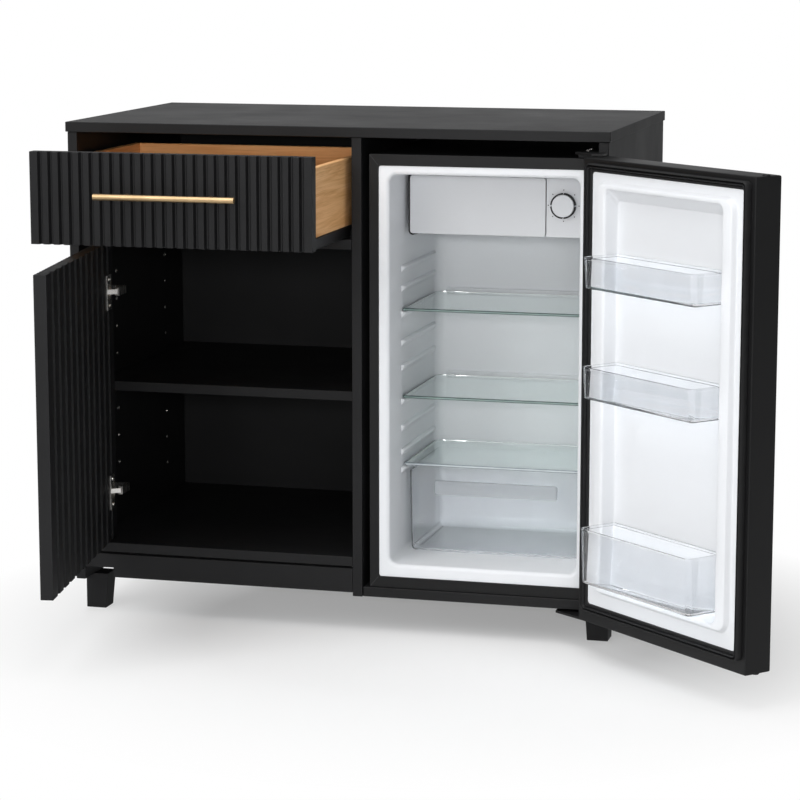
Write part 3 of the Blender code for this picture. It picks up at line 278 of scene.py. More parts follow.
class Look:
    """Principled material with short ways to add procedural detail."""

    def __init__(self, name, colour, roughness, metallic=0.0, **sockets):
        self.made = bpy.data.materials.new(name)
        self.made.use_nodes = True
        self.tree = self.made.node_tree
        self.shader = self.tree.nodes["Principled BSDF"]
        self.shader.inputs["Base Color"].default_value = (*colour, 1.0)
        self.shader.inputs["Roughness"].default_value = roughness
        self.shader.inputs["Metallic"].default_value = metallic
        for socket, value in sockets.items():
            self.shader.inputs[socket.replace("_", " ")].default_value = value
        self.place = self.tree.nodes.new("ShaderNodeTexCoord").outputs["Object"]

    def node(self, kind, **settings):
        """New shader node with its settings."""
        made = self.tree.nodes.new(kind)
        for name, value in settings.items():
            setattr(made, name, value)
        return made

    def link(self, source, target):
        """Join an output socket to an input socket."""
        self.tree.links.new(source, target)

    def stretched(self, scale):
        """Object coordinates scaled along each axis."""
        mapping = self.node("ShaderNodeMapping")
        mapping.inputs["Scale"].default_value = scale
        self.link(self.place, mapping.inputs["Vector"])
        return mapping.outputs["Vector"]

    def noise(self, scale, detail=3.0, roughness=0.55, distortion=0.0):
        """Noise with a scale of its own along each axis."""
        made = self.node("ShaderNodeTexNoise")
        made.inputs["Scale"].default_value = 1.0
        made.inputs["Detail"].default_value = detail
        made.inputs["Roughness"].default_value = roughness
        made.inputs["Distortion"].default_value = distortion
        self.link(self.stretched(scale), made.inputs["Vector"])
        return made.outputs["Fac"]

    def spread(self, value, low=0.0, high=1.0, start=0.3, end=0.7):
        """Value remapped from the start and end to the low and high."""
        made = self.node("ShaderNodeMapRange")
        made.inputs["From Min"].default_value = start
        made.inputs["From Max"].default_value = end
        made.inputs["To Min"].default_value = low
        made.inputs["To Max"].default_value = high
        self.link(value, made.inputs["Value"])
        return made.outputs["Result"]

    def mix(self, value, first, second):
        """Colour between two colours or colour sockets."""
        made = self.node("ShaderNodeMix", data_type="RGBA")
        self.link(value, made.inputs["Factor"])
        for spot, colour in zip(MIX_COLOURS, (first, second)):
            if isinstance(colour, tuple):
                made.inputs[spot].default_value = (*colour, 1.0)
            else:
                self.link(colour, made.inputs[spot])
        return made.outputs[MIX_RESULT]

    def maths(self, operation, first, second):
        """Result of a sum on two numbers or sockets."""
        made = self.node("ShaderNodeMath", operation=operation)
        for socket, value in zip(made.inputs, (first, second)):
            if isinstance(value, (int, float)):
                socket.default_value = value
            else:
                self.link(value, socket)
        return made.outputs["Value"]

    def edges(self, radius):
        """One near the outer edges of the piece, zero on its faces."""
        soft = self.node("ShaderNodeBevel", samples=WEAR_AND_SHEEN_SAMPLES)
        soft.inputs["Radius"].default_value = radius
        plain = self.node("ShaderNodeNewGeometry")
        dot = self.node("ShaderNodeVectorMath", operation="DOT_PRODUCT")
        self.link(soft.outputs["Normal"], dot.inputs[0])
        self.link(plain.outputs["Normal"], dot.inputs[1])
        return self.spread(dot.outputs["Value"], low=1.0, high=0.0, start=1.0 - WEAR_AND_SHEEN_SHARPNESS, end=1.0)

    def steepness(self):
        """One on upright faces, zero on level ones."""
        level = self.node("ShaderNodeSeparateXYZ")
        self.link(self.node("ShaderNodeNewGeometry").outputs["True Normal"], level.inputs["Vector"])
        upward = self.maths("ABSOLUTE", level.outputs["Z"], 0.0)
        return self.spread(upward, low=1.0, high=0.0, start=0.2, end=0.6)

    def colour(self, socket):
        """Drive the base colour."""
        self.link(socket, self.shader.inputs["Base Color"])

    def roughness(self, socket):
        """Drive the roughness."""
        self.link(socket, self.shader.inputs["Roughness"])

    def bump(self, height, strength, distance):
        """Drive the normal by a height."""
        made = self.node("ShaderNodeBump")
        made.inputs["Strength"].default_value = strength
        made.inputs["Distance"].default_value = distance
        self.link(height, made.inputs["Height"])
        self.link(made.outputs["Normal"], self.shader.inputs["Normal"])

    def pass_lamps(self, tint):
        """Lamps shine through the clear piece with this tint instead of being stopped by it."""
        through = self.node("ShaderNodeBsdfTransparent")
        through.inputs["Color"].default_value = (*tint, 1.0)
        blend = self.node("ShaderNodeMixShader")
        self.link(self.node("ShaderNodeLightPath").outputs["Is Shadow Ray"], blend.inputs["Fac"])
        self.link(self.shader.outputs["BSDF"], blend.inputs[1])
        self.link(through.outputs["BSDF"], blend.inputs[2])
        self.link(blend.outputs["Shader"], self.tree.nodes["Material Output"].inputs["Surface"])


def along(axis, fine, coarse):
    """Scale with the coarse value along the grain axis and the fine value across it."""
    return tuple(coarse if name == axis else fine for name in "XYZ")


def even(value):
    """The same value three times, for a scale or a neutral colour."""
    return (value,) * 3


def grey(level):
    """Neutral colour with a slightly stronger blue."""
    return (level, level, level * GREY_BLUE)


def black_board(name, axis):
    """Satin black lacquer over open-grained board, a little brighter along edges: partly rubbed wear, partly
    a painted edge highlight.
    """
    dark, mean, light = (grey(level) for level in BOARD_BLACK)
    look = Look(name, mean, roughness=0.48, Specular_IOR_Level=0.18)
    pores = look.noise(along(axis, fine=900.0, coarse=22.0), detail=4.0, roughness=0.65)
    cloud = look.noise(even(6.0))
    ground = look.mix(look.spread(cloud), dark, light)
    # Edges lighter in patches: partly rubbed wear, partly a painted highlight along the edges
    wear_and_sheen_patches = look.spread(look.noise(even(90.0)), low=0.25)
    worn_and_sheen = look.maths("MULTIPLY", look.edges(radius=0.0012), wear_and_sheen_patches)
    look.colour(look.mix(worn_and_sheen, ground, grey(BOARD_WORN_AND_SHEEN)))
    satin = look.spread(cloud, low=0.43, high=0.52)
    look.roughness(look.maths("ADD", satin, look.spread(pores, low=-0.03, high=0.05)))
    look.bump(pores, strength=0.16, distance=0.00025)
    return look.made


def light_oak(name, axis):
    """Pale oak with growth rings, fine pores and a matt lacquer."""
    look = Look(name, OAK_MEAN, roughness=0.55, Specular_IOR_Level=0.15)
    rings = look.noise(along(axis, fine=46.0, coarse=2.6), detail=5.0, roughness=0.60, distortion=1.6)
    fibre = look.noise(along(axis, fine=620.0, coarse=9.0), detail=4.0, roughness=0.65)
    tone = look.noise(along(axis, fine=9.0, coarse=1.2), detail=2.0)
    early = look.mix(look.spread(tone), *OAK_EARLY)
    late = look.mix(look.spread(rings, start=0.46, end=0.66), early, OAK_LATE)
    pores = look.spread(fibre, high=0.50, start=0.52, end=0.72)
    look.colour(look.mix(pores, late, OAK_PORE))
    look.roughness(look.spread(fibre, low=0.44, high=0.62))
    look.bump(fibre, strength=0.22, distance=0.0003)
    return look.made


def brushed(name, colour, shade, roughness, axis):
    """Metal brushed along one axis."""
    look = Look(name, colour, roughness, metallic=1.0, Anisotropic=0.35)
    lines = look.noise(along(axis, fine=1400.0, coarse=14.0), roughness=0.6)
    smudge = look.noise(even(35.0))
    look.colour(look.mix(look.spread(smudge), colour, shade))
    brush = look.spread(lines, low=roughness - 0.05, high=roughness + 0.07)
    look.roughness(look.maths("ADD", brush, look.spread(smudge, low=-0.03, high=0.04)))
    look.bump(lines, strength=0.12, distance=0.0001)
    return look.made


def black_enamel(name, roughness, level=ENAMEL_BLACK):
    """Black paint on sheet steel with a fine orange-peel surface, lighter along edges from wear and from a
    painted edge highlight.
    """
    look = Look(name, grey(level), roughness, Specular_IOR_Level=0.22)
    peel = look.noise(even(420.0), detail=2.0, roughness=0.5)
    cloud = look.noise(even(4.0))
    ground = look.mix(look.spread(cloud), *(grey(level * share) for share in ENAMEL_DRIFT))
    # Edges lighter: partly wear, partly a painted highlight along the edges
    look.colour(look.mix(look.edges(radius=0.0014), ground, grey(level * ENAMEL_WEAR_AND_SHEEN)))
    look.roughness(look.spread(cloud, low=roughness - 0.05, high=roughness + 0.05))
    look.bump(peel, strength=0.10, distance=0.0003)
    return look.made


def cool_white(level):
    """White with a slight blue cast."""
    return tuple(level * part for part in WHITE_CAST)


def white_plastic(name="white_plastic", level=SHEET_WHITE):
    """Vacuum-formed white sheet, cool and half glossy, with a faint ripple and a fine grain."""
    look = Look(name, cool_white(level), roughness=0.36, Specular_IOR_Level=0.38)
    ripple = look.noise(even(7.0), detail=2.0)
    grain = look.noise(even(1300.0), detail=2.0)
    look.colour(look.mix(look.spread(ripple), *(cool_white(level * share) for share in SHEET_DRIFT)))
    sheen = look.spread(ripple, low=0.33, high=0.38)
    look.roughness(look.maths("ADD", sheen, look.spread(grain, low=-0.02, high=0.03)))
    look.bump(grain, strength=0.04, distance=0.0002)
    return look.made


def clear_plastic(name="clear_plastic", haze=CLEAR_HAZE):
    """Clear moulded plastic with faint flow marks; haze roughens it."""
    dark, mean, light = CLEAR
    look = Look(name, mean, haze, Transmission_Weight=1.0, IOR=1.46)
    flow = look.noise(along("Z", fine=30.0, coarse=12.0), detail=2.0)
    look.roughness(look.spread(flow, low=haze, high=haze + 0.025))
    look.colour(look.mix(look.spread(flow), dark, light))
    look.pass_lamps(CLEAR_SHADOW)
    return look.made


def shelf_glass():
    """Clear faces of float glass, with a green cast."""
    dark, mean, light = GLASS
    look = Look("shelf_glass", mean, roughness=0.02, Transmission_Weight=1.0, IOR=1.45)
    streak = look.noise(even(14.0), detail=2.0)
    look.colour(look.mix(look.spread(streak), dark, light))
    look.roughness(look.spread(streak, low=0.01, high=0.04))
    look.pass_lamps(GLASS_SHADOW)
    return look.made


def painted_glass_edge(name, band, painted_dark_arris):
    """Polished edge of a plate, painted as glass looks end on: a band lit by painted light carried along the
    glass, between two arrises painted dark as reflections.
    """
    look = Look(name, band, roughness=0.18, Specular_IOR_Level=0.5)
    depth = look.noise(even(40.0))
    middle = look.mix(look.spread(depth), band, tuple(EDGE_DEPTH * part for part in band))
    look.colour(look.mix(look.steepness(), painted_dark_arris, middle))
    look.roughness(look.spread(depth, low=0.12, high=0.26))
    return look.made


def black_rubber():
    """Soft black seal with a dusty bloom."""
    dark, mean, light = (grey(level) for level in RUBBER)
    look = Look("black_rubber", mean, roughness=0.56, Specular_IOR_Level=0.30)
    bloom = look.noise(even(60.0), detail=4.0)
    look.colour(look.mix(look.spread(bloom), dark, light))
    look.roughness(look.spread(bloom, low=0.46, high=0.66))
    look.bump(look.noise(even(700.0)), strength=0.08, distance=0.0003)
    return look.made


def print_ink_and_gap_shade():
    """Matt dark print of the dots round the thermostat's knob, and painted shade of the ring round it."""
    dark, mean, light = (grey(level) for level in INK_AND_GAP_SHADE)
    look = Look("print_ink_and_gap_shade", mean, roughness=0.60, Specular_IOR_Level=0.2)
    cover = look.noise(even(1500.0), detail=2.0)
    look.colour(look.mix(look.spread(cover), dark, light))
    look.roughness(look.spread(cover, low=0.52, high=0.68))
    return look.made


def dress(node, made):
    """Give a CAD node its material."""
    item = NODES[node]
    item.data.materials.clear()
    item.data.materials.append(made)


def soften(node):
    """Weld a CAD node's facets, round its edges and keep its flat faces flat."""
    item = NODES[node]
    for face in item.data.polygons:
        face.use_smooth = True
    item.data.attributes.remove(item.data.attributes["custom_normal"])
    weld = item.modifiers.new("weld", "WELD")
    weld.merge_threshold = WELD_REACH
    flat = item.modifiers.new("flat", "DECIMATE")
    flat.decimate_type = "DISSOLVE"
    flat.angle_limit = FLAT_ANGLE
    bevel = item.modifiers.new("bevel", "BEVEL")
    bevel.width = EDGE_ROUND
    bevel.segments = EDGE_STEPS
    bevel.limit_method = "ANGLE"
    bevel.angle_limit = SMOOTH_ANGLE
    normals = item.modifiers.new("normals", "WEIGHTED_NORMAL")
    normals.keep_sharp = True


def piece(name, points, faces, made, body, turn=None):
    """New mesh that rides on a body; turn carries it from the closed to the rest place of a door."""
    mesh = bpy.data.meshes.new(name)
    mesh.from_pydata([tuple(point) for point in points], [], faces)
    if turn is not None:
        mesh.transform(turn)
    mesh.validate()
    shape = bmesh.new()
    shape.from_mesh(mesh)
    bmesh.ops.recalc_face_normals(shape, faces=shape.faces)
    shape.to_mesh(mesh)
    shape.free()
    mesh.shade_smooth()
    mesh.set_sharp_from_angle(angle=SMOOTH_ANGLE)
    mesh.materials.append(made)
    item = bpy.data.objects.new(name, mesh)
    bpy.context.scene.collection.objects.link(item)
    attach(item, body)
    return item


def stand_for(item, node):
    """The piece replaces a CAD node, which is hidden."""
    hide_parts(node)


def arc(centre, radius, start, end, steps):
    """Points of an arc in a plane, as pairs."""
    spots = [start + (end - start) * step / steps for step in range(steps + 1)]
    return [(centre[0] + radius * math.cos(spot), centre[1] + radius * math.sin(spot)) for spot in spots]


def rounded(a, b, radii, steps=CURVE_STEPS):
    """Rectangle over two spans with a radius at each corner, anticlockwise from the low corner."""
    corners = ((a[0], b[0], 1, 1), (a[1], b[0], -1, 1), (a[1], b[1], -1, -1), (a[0], b[1], 1, -1))
    points = []
    for turn, ((x, y, dx, dy), radius) in enumerate(zip(corners, radii)):
        start = math.pi + turn * math.pi / 2
        points += arc((x + dx * radius, y + dy * radius), radius, start, start + math.pi / 2, steps)
    return points


def inset(span, step):
    """Span drawn in by a step at both ends."""
    return (span[0] + step, span[1] - step)


def spans(low, high):
    """Spans of a box along the three axes."""
    return [(low[axis], high[axis]) for axis in range(3)]


def quarter(steps=CURVE_STEPS):
    """Angles of a quarter turn."""
    return [math.pi / 2 * step / steps for step in range(steps + 1)]


def ease(share):
    """Share from 0 to 1 with a level start and end."""
    return share * share * (3 - 2 * share)


def skin(loops, ring=False):
    """Points and faces of a surface through loops of equal length, made a ring or capped at both ends."""
    count = len(loops[0])
    points = [point for loop in loops for point in loop]
    pairs = [(row, row + 1) for row in range(len(loops) - 1)]
    if ring:
        pairs.append((len(loops) - 1, 0))
    faces = []
    for low, high in pairs:
        for spot in range(count):
            after = (spot + 1) % count
            faces.append((low * count + spot, low * count + after, high * count + after, high * count + spot))
    if not ring:
        faces.append(tuple(reversed(range(count))))
        faces.append(tuple(range((len(loops) - 1) * count, len(loops) * count)))
    return points, faces


def merge(parts):
    """Points and faces of several surfaces as one."""
    points, faces = [], []
    for more, sides in parts:
        start = len(points)
        points += more
        faces += [tuple(start + spot for spot in side) for side in sides]
    return points, faces


def turned(profile, place, axis, steps=TURN_STEPS):
    """Surface of revolution: profile is (radius, height) pairs from the rim to the middle."""
    frame_of = Vector(axis).to_track_quat("Z", "Y").to_matrix()
    loops = []
    for radius, height in profile:
        spots = [math.tau * step / steps for step in range(steps)]
        loops.append([Vector(place) + frame_of @ Vector((radius * math.cos(s), radius * math.sin(s), height))
                      for s in spots])
    return skin(loops)


def cushion_block(x, y, z, corner, edge):
    """Block with rounded upright corners and chamfered ends."""
    loops = []
    for height, step in ((z[0], edge), (z[0] + edge, 0.0), (z[1] - edge, 0.0), (z[1], edge)):
        outline = rounded(inset(x, step), inset(y, step), (corner,) * 4, TINY_STEPS)
        loops.append([(px, py, height) for px, py in outline])
    return skin(loops)


def sleeve(place, axis):
    """Pressed metal sleeve at the mouth of a shelf pin hole."""
    profile = ((SLEEVE_RADIUS, 0.0), (SLEEVE_RADIUS - SLEEVE_LIP, SLEEVE_PROUD),
               (SLEEVE_BORE + SLEEVE_LIP, SLEEVE_PROUD), (SLEEVE_BORE, SLEEVE_PROUD / 2),
               (SLEEVE_BORE, -SLEEVE_DEPTH))
    return turned(profile, place, axis)


def screw(place, axis, radius=SCREW_RADIUS, rise=SCREW_RISE):
    """Domed screw head with a cross-shaped recess."""
    frame_of = Vector(axis).to_track_quat("Z", "Y").to_matrix()
    arm, reach = radius * CROSS_ARM, radius * CROSS_REACH
    cross = [(reach, -arm), (reach, arm), (arm, arm), (arm, reach), (-arm, reach), (-arm, arm), (-reach, arm),
             (-reach, -arm), (-arm, -arm), (-arm, -reach), (arm, -reach), (arm, -arm)]
    spots = [math.atan2(y, x) for x, y in cross]
    outline = [(radius * out, rise * up) for out, up in HEAD_SECTION]
    loops = [[(r * math.cos(s), r * math.sin(s), h) for s in spots] for r, h in outline]
    loops.append([(x, y, rise) for x, y in cross])
    narrow, sunk = CROSS_FLOOR
    loops.append([(x * narrow, y * narrow, rise * sunk) for x, y in cross])
    return skin([[Vector(place) + frame_of @ Vector(point) for point in loop] for loop in loops])


def closed_turn(joint, sense):
    """Matrix from the closed place of a door to its place at rest."""
    hinge = JOINTS[joint]
    pivot = Vector((hinge["pos_m"][0], hinge["pos_m"][1], 0.0))
    angle = -math.radians(hinge["range_deg"][0]) * sense
    return Matrix.Translation(pivot) @ Matrix.Rotation(angle, 4, "Z") @ Matrix.Translation(-pivot)


def closed_box(node, turn):
    """Lowest and highest corner of a door's node when the door is closed."""
    back = turn.inverted()
    points = [back @ vertex.co for vertex in NODES[node].data.vertices]
    return [tuple(pick(point[axis] for point in points) for axis in range(3)) for pick in (min, max)]


FRIDGE_TURN = closed_turn("fridge_door_hinge", 1)
CUPBOARD_TURN = closed_turn("cupboard_door_hinge", -1)


def pin_sleeves(made):
    """Sleeves along both rows of holes in the left side panel and in the divider."""
    for side, face, axis in (("left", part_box("side_panel_left")[1][0], (1, 0, 0)),
                             ("right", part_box("divider_panel")[0][0], (-1, 0, 0))):
        parts = []
        for row in ("front", "rear"):
            low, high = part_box(f"shelf_pin_{row}_{side}")
            depth = (low[1] + high[1]) / 2
            level = (low[2] + high[2]) / 2
            parts += [sleeve((face, depth, level + step * PIN_PITCH), axis) for step in PIN_STEPS]
        item = piece(f"pin_sleeves_{side}", *merge(parts), made, "cabinet")


def hinge_screws(made):
    """Screws of the hinge plates on the side panel and of the hinge cups in the door."""
    for end in ("lower", "upper"):
        low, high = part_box(f"hinge_arm_{end}")
        level = (low[2] + high[2]) / 2
        depth = low[1] + (high[1] - low[1]) * PLATE_SCREW_DEPTH
        face = low[0] + PLATE_THICK
        parts = [screw((face, depth, level + PLATE_SCREW_REACH * sense), (1, 0, 0)) for sense in (-1, 1)]
        parts.append(screw((low[0] + ARM_RISE, depth, level), (1, 0, 0), *ARM_SCREW))
        item = piece(f"hinge_plate_screws_{end}", *merge(parts), made, "cabinet")
        low, high = closed_box(f"hinge_cup_{end}", CUPBOARD_TURN)
        middle = (low[0] + high[0]) / 2
        level = (low[2] + high[2]) / 2
        parts = [screw((middle, high[1], level + CUP_SCREW_REACH * sense), (0, 1, 0)) for sense in (-1, 1)]
        item = piece(f"hinge_cup_screws_{end}", *merge(parts), made, "cupboard_door", CUPBOARD_TURN)


def bracket_screws(made):
    """Two screws in the top hinge bracket of the fridge."""
    low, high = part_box("fridge_hinge_top")
    x = low[0] + (high[0] - low[0]) * BRACKET_SCREW_SIDE
    depths = [high[1] - (high[1] - low[1]) * share for share in BRACKET_SCREW_DEPTHS]
    parts = [screw((x, y, high[2]), (0, 0, 1), *BRACKET_SCREW) for y in depths]
    item = piece("fridge_hinge_screws", *merge(parts), made, "cabinet")


def thermostat_marks(ink_and_gap_shade):
    """Raised dark ring round the knob, broken at the four quarters, painted as the shade in the gap round it,
    and printed tick dots outside it.
    """
    low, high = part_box("thermostat_knob")
    centre = ((low[0] + high[0]) / 2, (low[2] + high[2]) / 2)
    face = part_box("thermostat_panel")[0][1]
    inner = (high[0] - low[0]) / 2 + RING_GAP
    rise = RING_RISE * (face - low[1])
    parts = []
    for turn in range(4):
        start = turn * math.pi / 2 + RING_BREAK / 2
        end = start + math.pi / 2 - RING_BREAK
        edge = arc(centre, inner, start, end, MARK_STEPS)
        edge += arc(centre, inner + RING_WIDTH, end, start, MARK_STEPS)
        parts.append(skin([[(x, face + lift, z) for x, z in edge] for lift in (0.0, -rise)]))
    for step in range(DOT_COUNT):
        spot = math.tau * step / DOT_COUNT
        place = (centre[0] + DOT_ORBIT * math.cos(spot), face, centre[1] + DOT_ORBIT * math.sin(spot))
        parts.append(turned(((DOT_RADIUS, 0.0), (DOT_RADIUS, MARK_RISE)), place, (0, -1, 0), MARK_STEPS))
    piece("thermostat_scale_and_gap_shade", *merge(parts), ink_and_gap_shade, "cabinet")


def rib_levels():
    """Heights and shares of reach of the points on all shelf ribs, from the lowest to the highest."""
    tops = [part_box(node)[0][2] - TOUCH_GAP for node in PLATES]
    tops += [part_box(node)[0][2] + rise for node, rise in SPARE_RIBS]
    return [(top - drop, share) for top in sorted(tops) for drop, share in RIB_SECTION]


def fridge_liner(made):
    """One formed sheet: flange, rounded mouth, ribbed walls, wide back corners, ledges behind the shelves."""
    low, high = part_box("fridge_liner")
    shelf_low, shelf_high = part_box("glass_shelf_upper")
    x = (shelf_low[0] - SHELF_PLAY, shelf_high[0] + SHELF_PLAY)
    z = (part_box("crisper_bin")[0][2] - TOUCH_GAP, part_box("freezer_box")[1][2] + TOUCH_GAP)
    face, back = low[1], high[1] - LINER_THICK
    ribs = rib_levels()

    def loop(depth, step, corner, reach=0.0, wide=x, tall=z):
        """Outline of the sheet at a depth; reach raises the ribs on both side walls."""
        across, up = inset(wide, step), inset(tall, step)
        corners = rounded(across, up, (corner,) * 4)
        half = len(corners) // 2
        right = [(across[1] - RIB_REACH * reach * share, level) for level, share in ribs]
        left = [(across[0] + RIB_REACH * reach * share, level) for level, share in reversed(ribs)]
        return [(px, depth, pz) for px, pz in corners[:half] + right + corners[half:] + left]

    rear = back - BACK_CORNER
    loops = [loop(back - BACK_CORNER * (1 - math.sin(turn)), BACK_CORNER * (1 - math.cos(turn)),
                  WALL_CORNER) for turn in reversed(quarter())]
    loops += [loop(rear - RIB_TAIL * (1 - math.cos(turn)), 0.0, WALL_CORNER, math.sin(turn))
              for turn in quarter(TINY_STEPS)[1:]]
    front = face + RIB_FRONT
    loops += [loop(front + RIB_NOSE * (1 - math.sin(turn)), 0.0, WALL_CORNER, math.cos(turn))
              for turn in quarter()]
    loops += [loop(face + MOUTH_ROUND * (1 - math.cos(turn)), -MOUTH_ROUND * (1 - math.sin(turn)),
                   WALL_CORNER + MOUTH_ROUND * (1 - math.sin(turn))) for turn in reversed(quarter())]
    flange = {"wide": (low[0], high[0]), "tall": (low[2], high[2])}
    loops.append(loop(face, 0.0, FLANGE_CORNER, **flange))
    loops.append(loop(face + LINER_THICK, 0.0, FLANGE_CORNER, **flange))
    loops.append(loop(face + LINER_THICK, -LINER_THICK, WALL_CORNER))
    loops.append(loop(high[1], -LINER_THICK, WALL_CORNER))
    parts = [skin(loops)]
    for node in ("glass_shelf_upper", "glass_shelf_lower"):
        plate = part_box(node)
        tall = (plate[0][2] - LEDGE_DROP, plate[1][2] + LEDGE_RISE)
        deep = (back - LEDGE_REACH, back + LINER_THICK / 2)
        parts.append(cushion_block(inset(x, BACK_CORNER), deep, tall, LEDGE_CORNER, LEDGE_EDGE))
    stand_for(piece("fridge_liner_moulded", *merge(parts), made, "cabinet"), "fridge_liner")


def glass_plate(node, made, edge):
    """Plate with rounded back corners in a polished edge band of its own."""
    low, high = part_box(node)
    x, y, z = spans(low, high)
    corners = (GLASS_FRONT_CORNER, GLASS_FRONT_CORNER, GLASS_BACK_CORNER, GLASS_BACK_CORNER)

    def loop(step, height):
        """Outline at a height, drawn in by a step."""
        radii = [max(corner - step, LEAST_CORNER) for corner in corners]
        return [(px, py, height) for px, py in rounded(inset(x, step), inset(y, step), radii)]

    seat = GLASS_BAND + GLASS_PLAY
    plate = piece(f"{node}_plate", *skin([loop(seat, height) for height in z]), made, "cabinet")
    stand_for(plate, node)
    band = [loop(GLASS_BAND, z[0]), loop(GLASS_CHAMFER, z[0]), loop(0.0, z[0] + GLASS_CHAMFER),
            loop(0.0, z[1] - GLASS_CHAMFER), loop(GLASS_CHAMFER, z[1]), loop(GLASS_BAND, z[1])]
    rim = piece(f"{node}_edge", *skin(band, ring=True), edge, "cabinet")


def door_liner(made):
    """Formed sheet of the fridge door: soft ridge near the rim and a dish inside it."""
    low, high = closed_box("fridge_door_liner", FRIDGE_TURN)
    crest = high[1]
    seat = crest - RIDGE_HEIGHT
    top = seat + DOOR_LINER_THICK
    floor_y = low[1] + DOOR_LINER_THICK
    sheet = ((low[0], high[0]), (low[2], high[2]), DOOR_LINER_CORNER)
    foot_z = (sheet[1][0] + RIDGE_BOTTOM_INSET, sheet[1][1] - RIDGE_INSET)
    foot = (inset(sheet[0], RIDGE_INSET), foot_z, RIDGE_CORNER + RIDGE_SLOPE)
    outer = (inset(foot[0], RIDGE_SLOPE), inset(foot[1], RIDGE_SLOPE), RIDGE_CORNER)
    inner = (inset(outer[0], RIDGE_SIDE_CREST), inset(outer[1], RIDGE_END_CREST), DISH_CORNER)
    brow = (inset(inner[0], -CREST_ROUND), inset(inner[1], -CREST_ROUND), DISH_CORNER + CREST_ROUND)
    dish_z = (inner[1][0] + DISH_DRAFT, inner[1][1] - DISH_TOP_SLOPE)
    dish = (inset(inner[0], DISH_DRAFT), dish_z, DISH_CORNER)
    bed = (inset(dish[0], DISH_ROUND), inset(dish[1], DISH_ROUND), DISH_CORNER - DISH_ROUND)

    def loop(depth, first, second=None, share=0.0):
        """Outline at a depth, part of the way from one rectangle to another."""
        second = second or first
        across, up = [tuple(a + (b - a) * share for a, b in zip(first[k], second[k])) for k in (0, 1)]
        corner = first[2] + (second[2] - first[2]) * share
        return [(px, depth, pz) for px, pz in rounded(across, up, (corner,) * 4, DOOR_STEPS)]

    loops = [loop(low[1], inner), loop(seat, inner), loop(seat, sheet), loop(top, sheet)]
    for step in range(SLOPE_STEPS + 1):
        share = step / SLOPE_STEPS
        loops.append(loop(top + (crest - top) * ease(share), foot, outer, share))
    loops += [loop(crest - CREST_ROUND * (1 - math.cos(turn)), brow, inner, math.sin(turn))
              for turn in quarter()]
    loops += [loop(floor_y + DISH_ROUND * (1 - math.sin(turn)), dish, bed, 1 - math.cos(turn))
              for turn in quarter(SMALL_STEPS)]
    item = piece("fridge_door_liner_moulded", *skin(loops), made, "fridge_door", FRIDGE_TURN)
    stand_for(item, "fridge_door_liner")


def bin_shape(x, y, z, radii, lean):
    """Open bin with a thicker rim band and rounded foot; lean draws the front foot back."""
    def level(height, step, share):
        """Outline at a height, drawn in by a step, with a share of the lean."""
        front = y[1] - lean * share
        corners = [max(radius - step, LEAST_CORNER) for radius in radii]
        return [(px, py, height) for px, py in rounded(inset(x, step), (y[0] + step, front - step), corners)]

    rim = z[1] - RIM_HEIGHT
    proud = RIM_PROUD
    lip = LEAST_CORNER
    bend = [FOOT_ROUND * share for share in FOOT_BEND]
    outside = [level(z[0], proud + FOOT_ROUND, 1.0), level(z[0] + bend[0], proud + bend[1], 1.0),
               level(z[0] + FOOT_ROUND, proud, FOOT_LEAN), level(rim, proud, RIM_LEAN),
               level(rim + lip, lip / 3, LIP_LEAN), level(z[1] - lip, 0.0, 0.0), level(z[1], lip, 0.0)]
    thick = proud + WALL
    inside = [level(z[1], thick - lip, 0.0), level(z[1] - lip, thick, 0.0),
              level(z[0] + WALL + FOOT_ROUND, thick, FOOT_LEAN),
              level(z[0] + WALL, thick + FOOT_ROUND, 1.0)]
    return skin(outside + inside)


def door_bins(made):
    """Three clear bins of the fridge door."""
    for end in ("upper", "middle", "lower"):
        node = f"door_bin_{end}"
        x, y, z = spans(*closed_box(node, FRIDGE_TURN))
        radii = (BIN_BACK_CORNER, BIN_BACK_CORNER, BIN_CORNER, BIN_CORNER)
        shape = bin_shape(x, y, z, radii, BIN_LEAN)
        item = piece(f"{node}_moulded", *shape, made, "fridge_door", FRIDGE_TURN)
        stand_for(item, node)


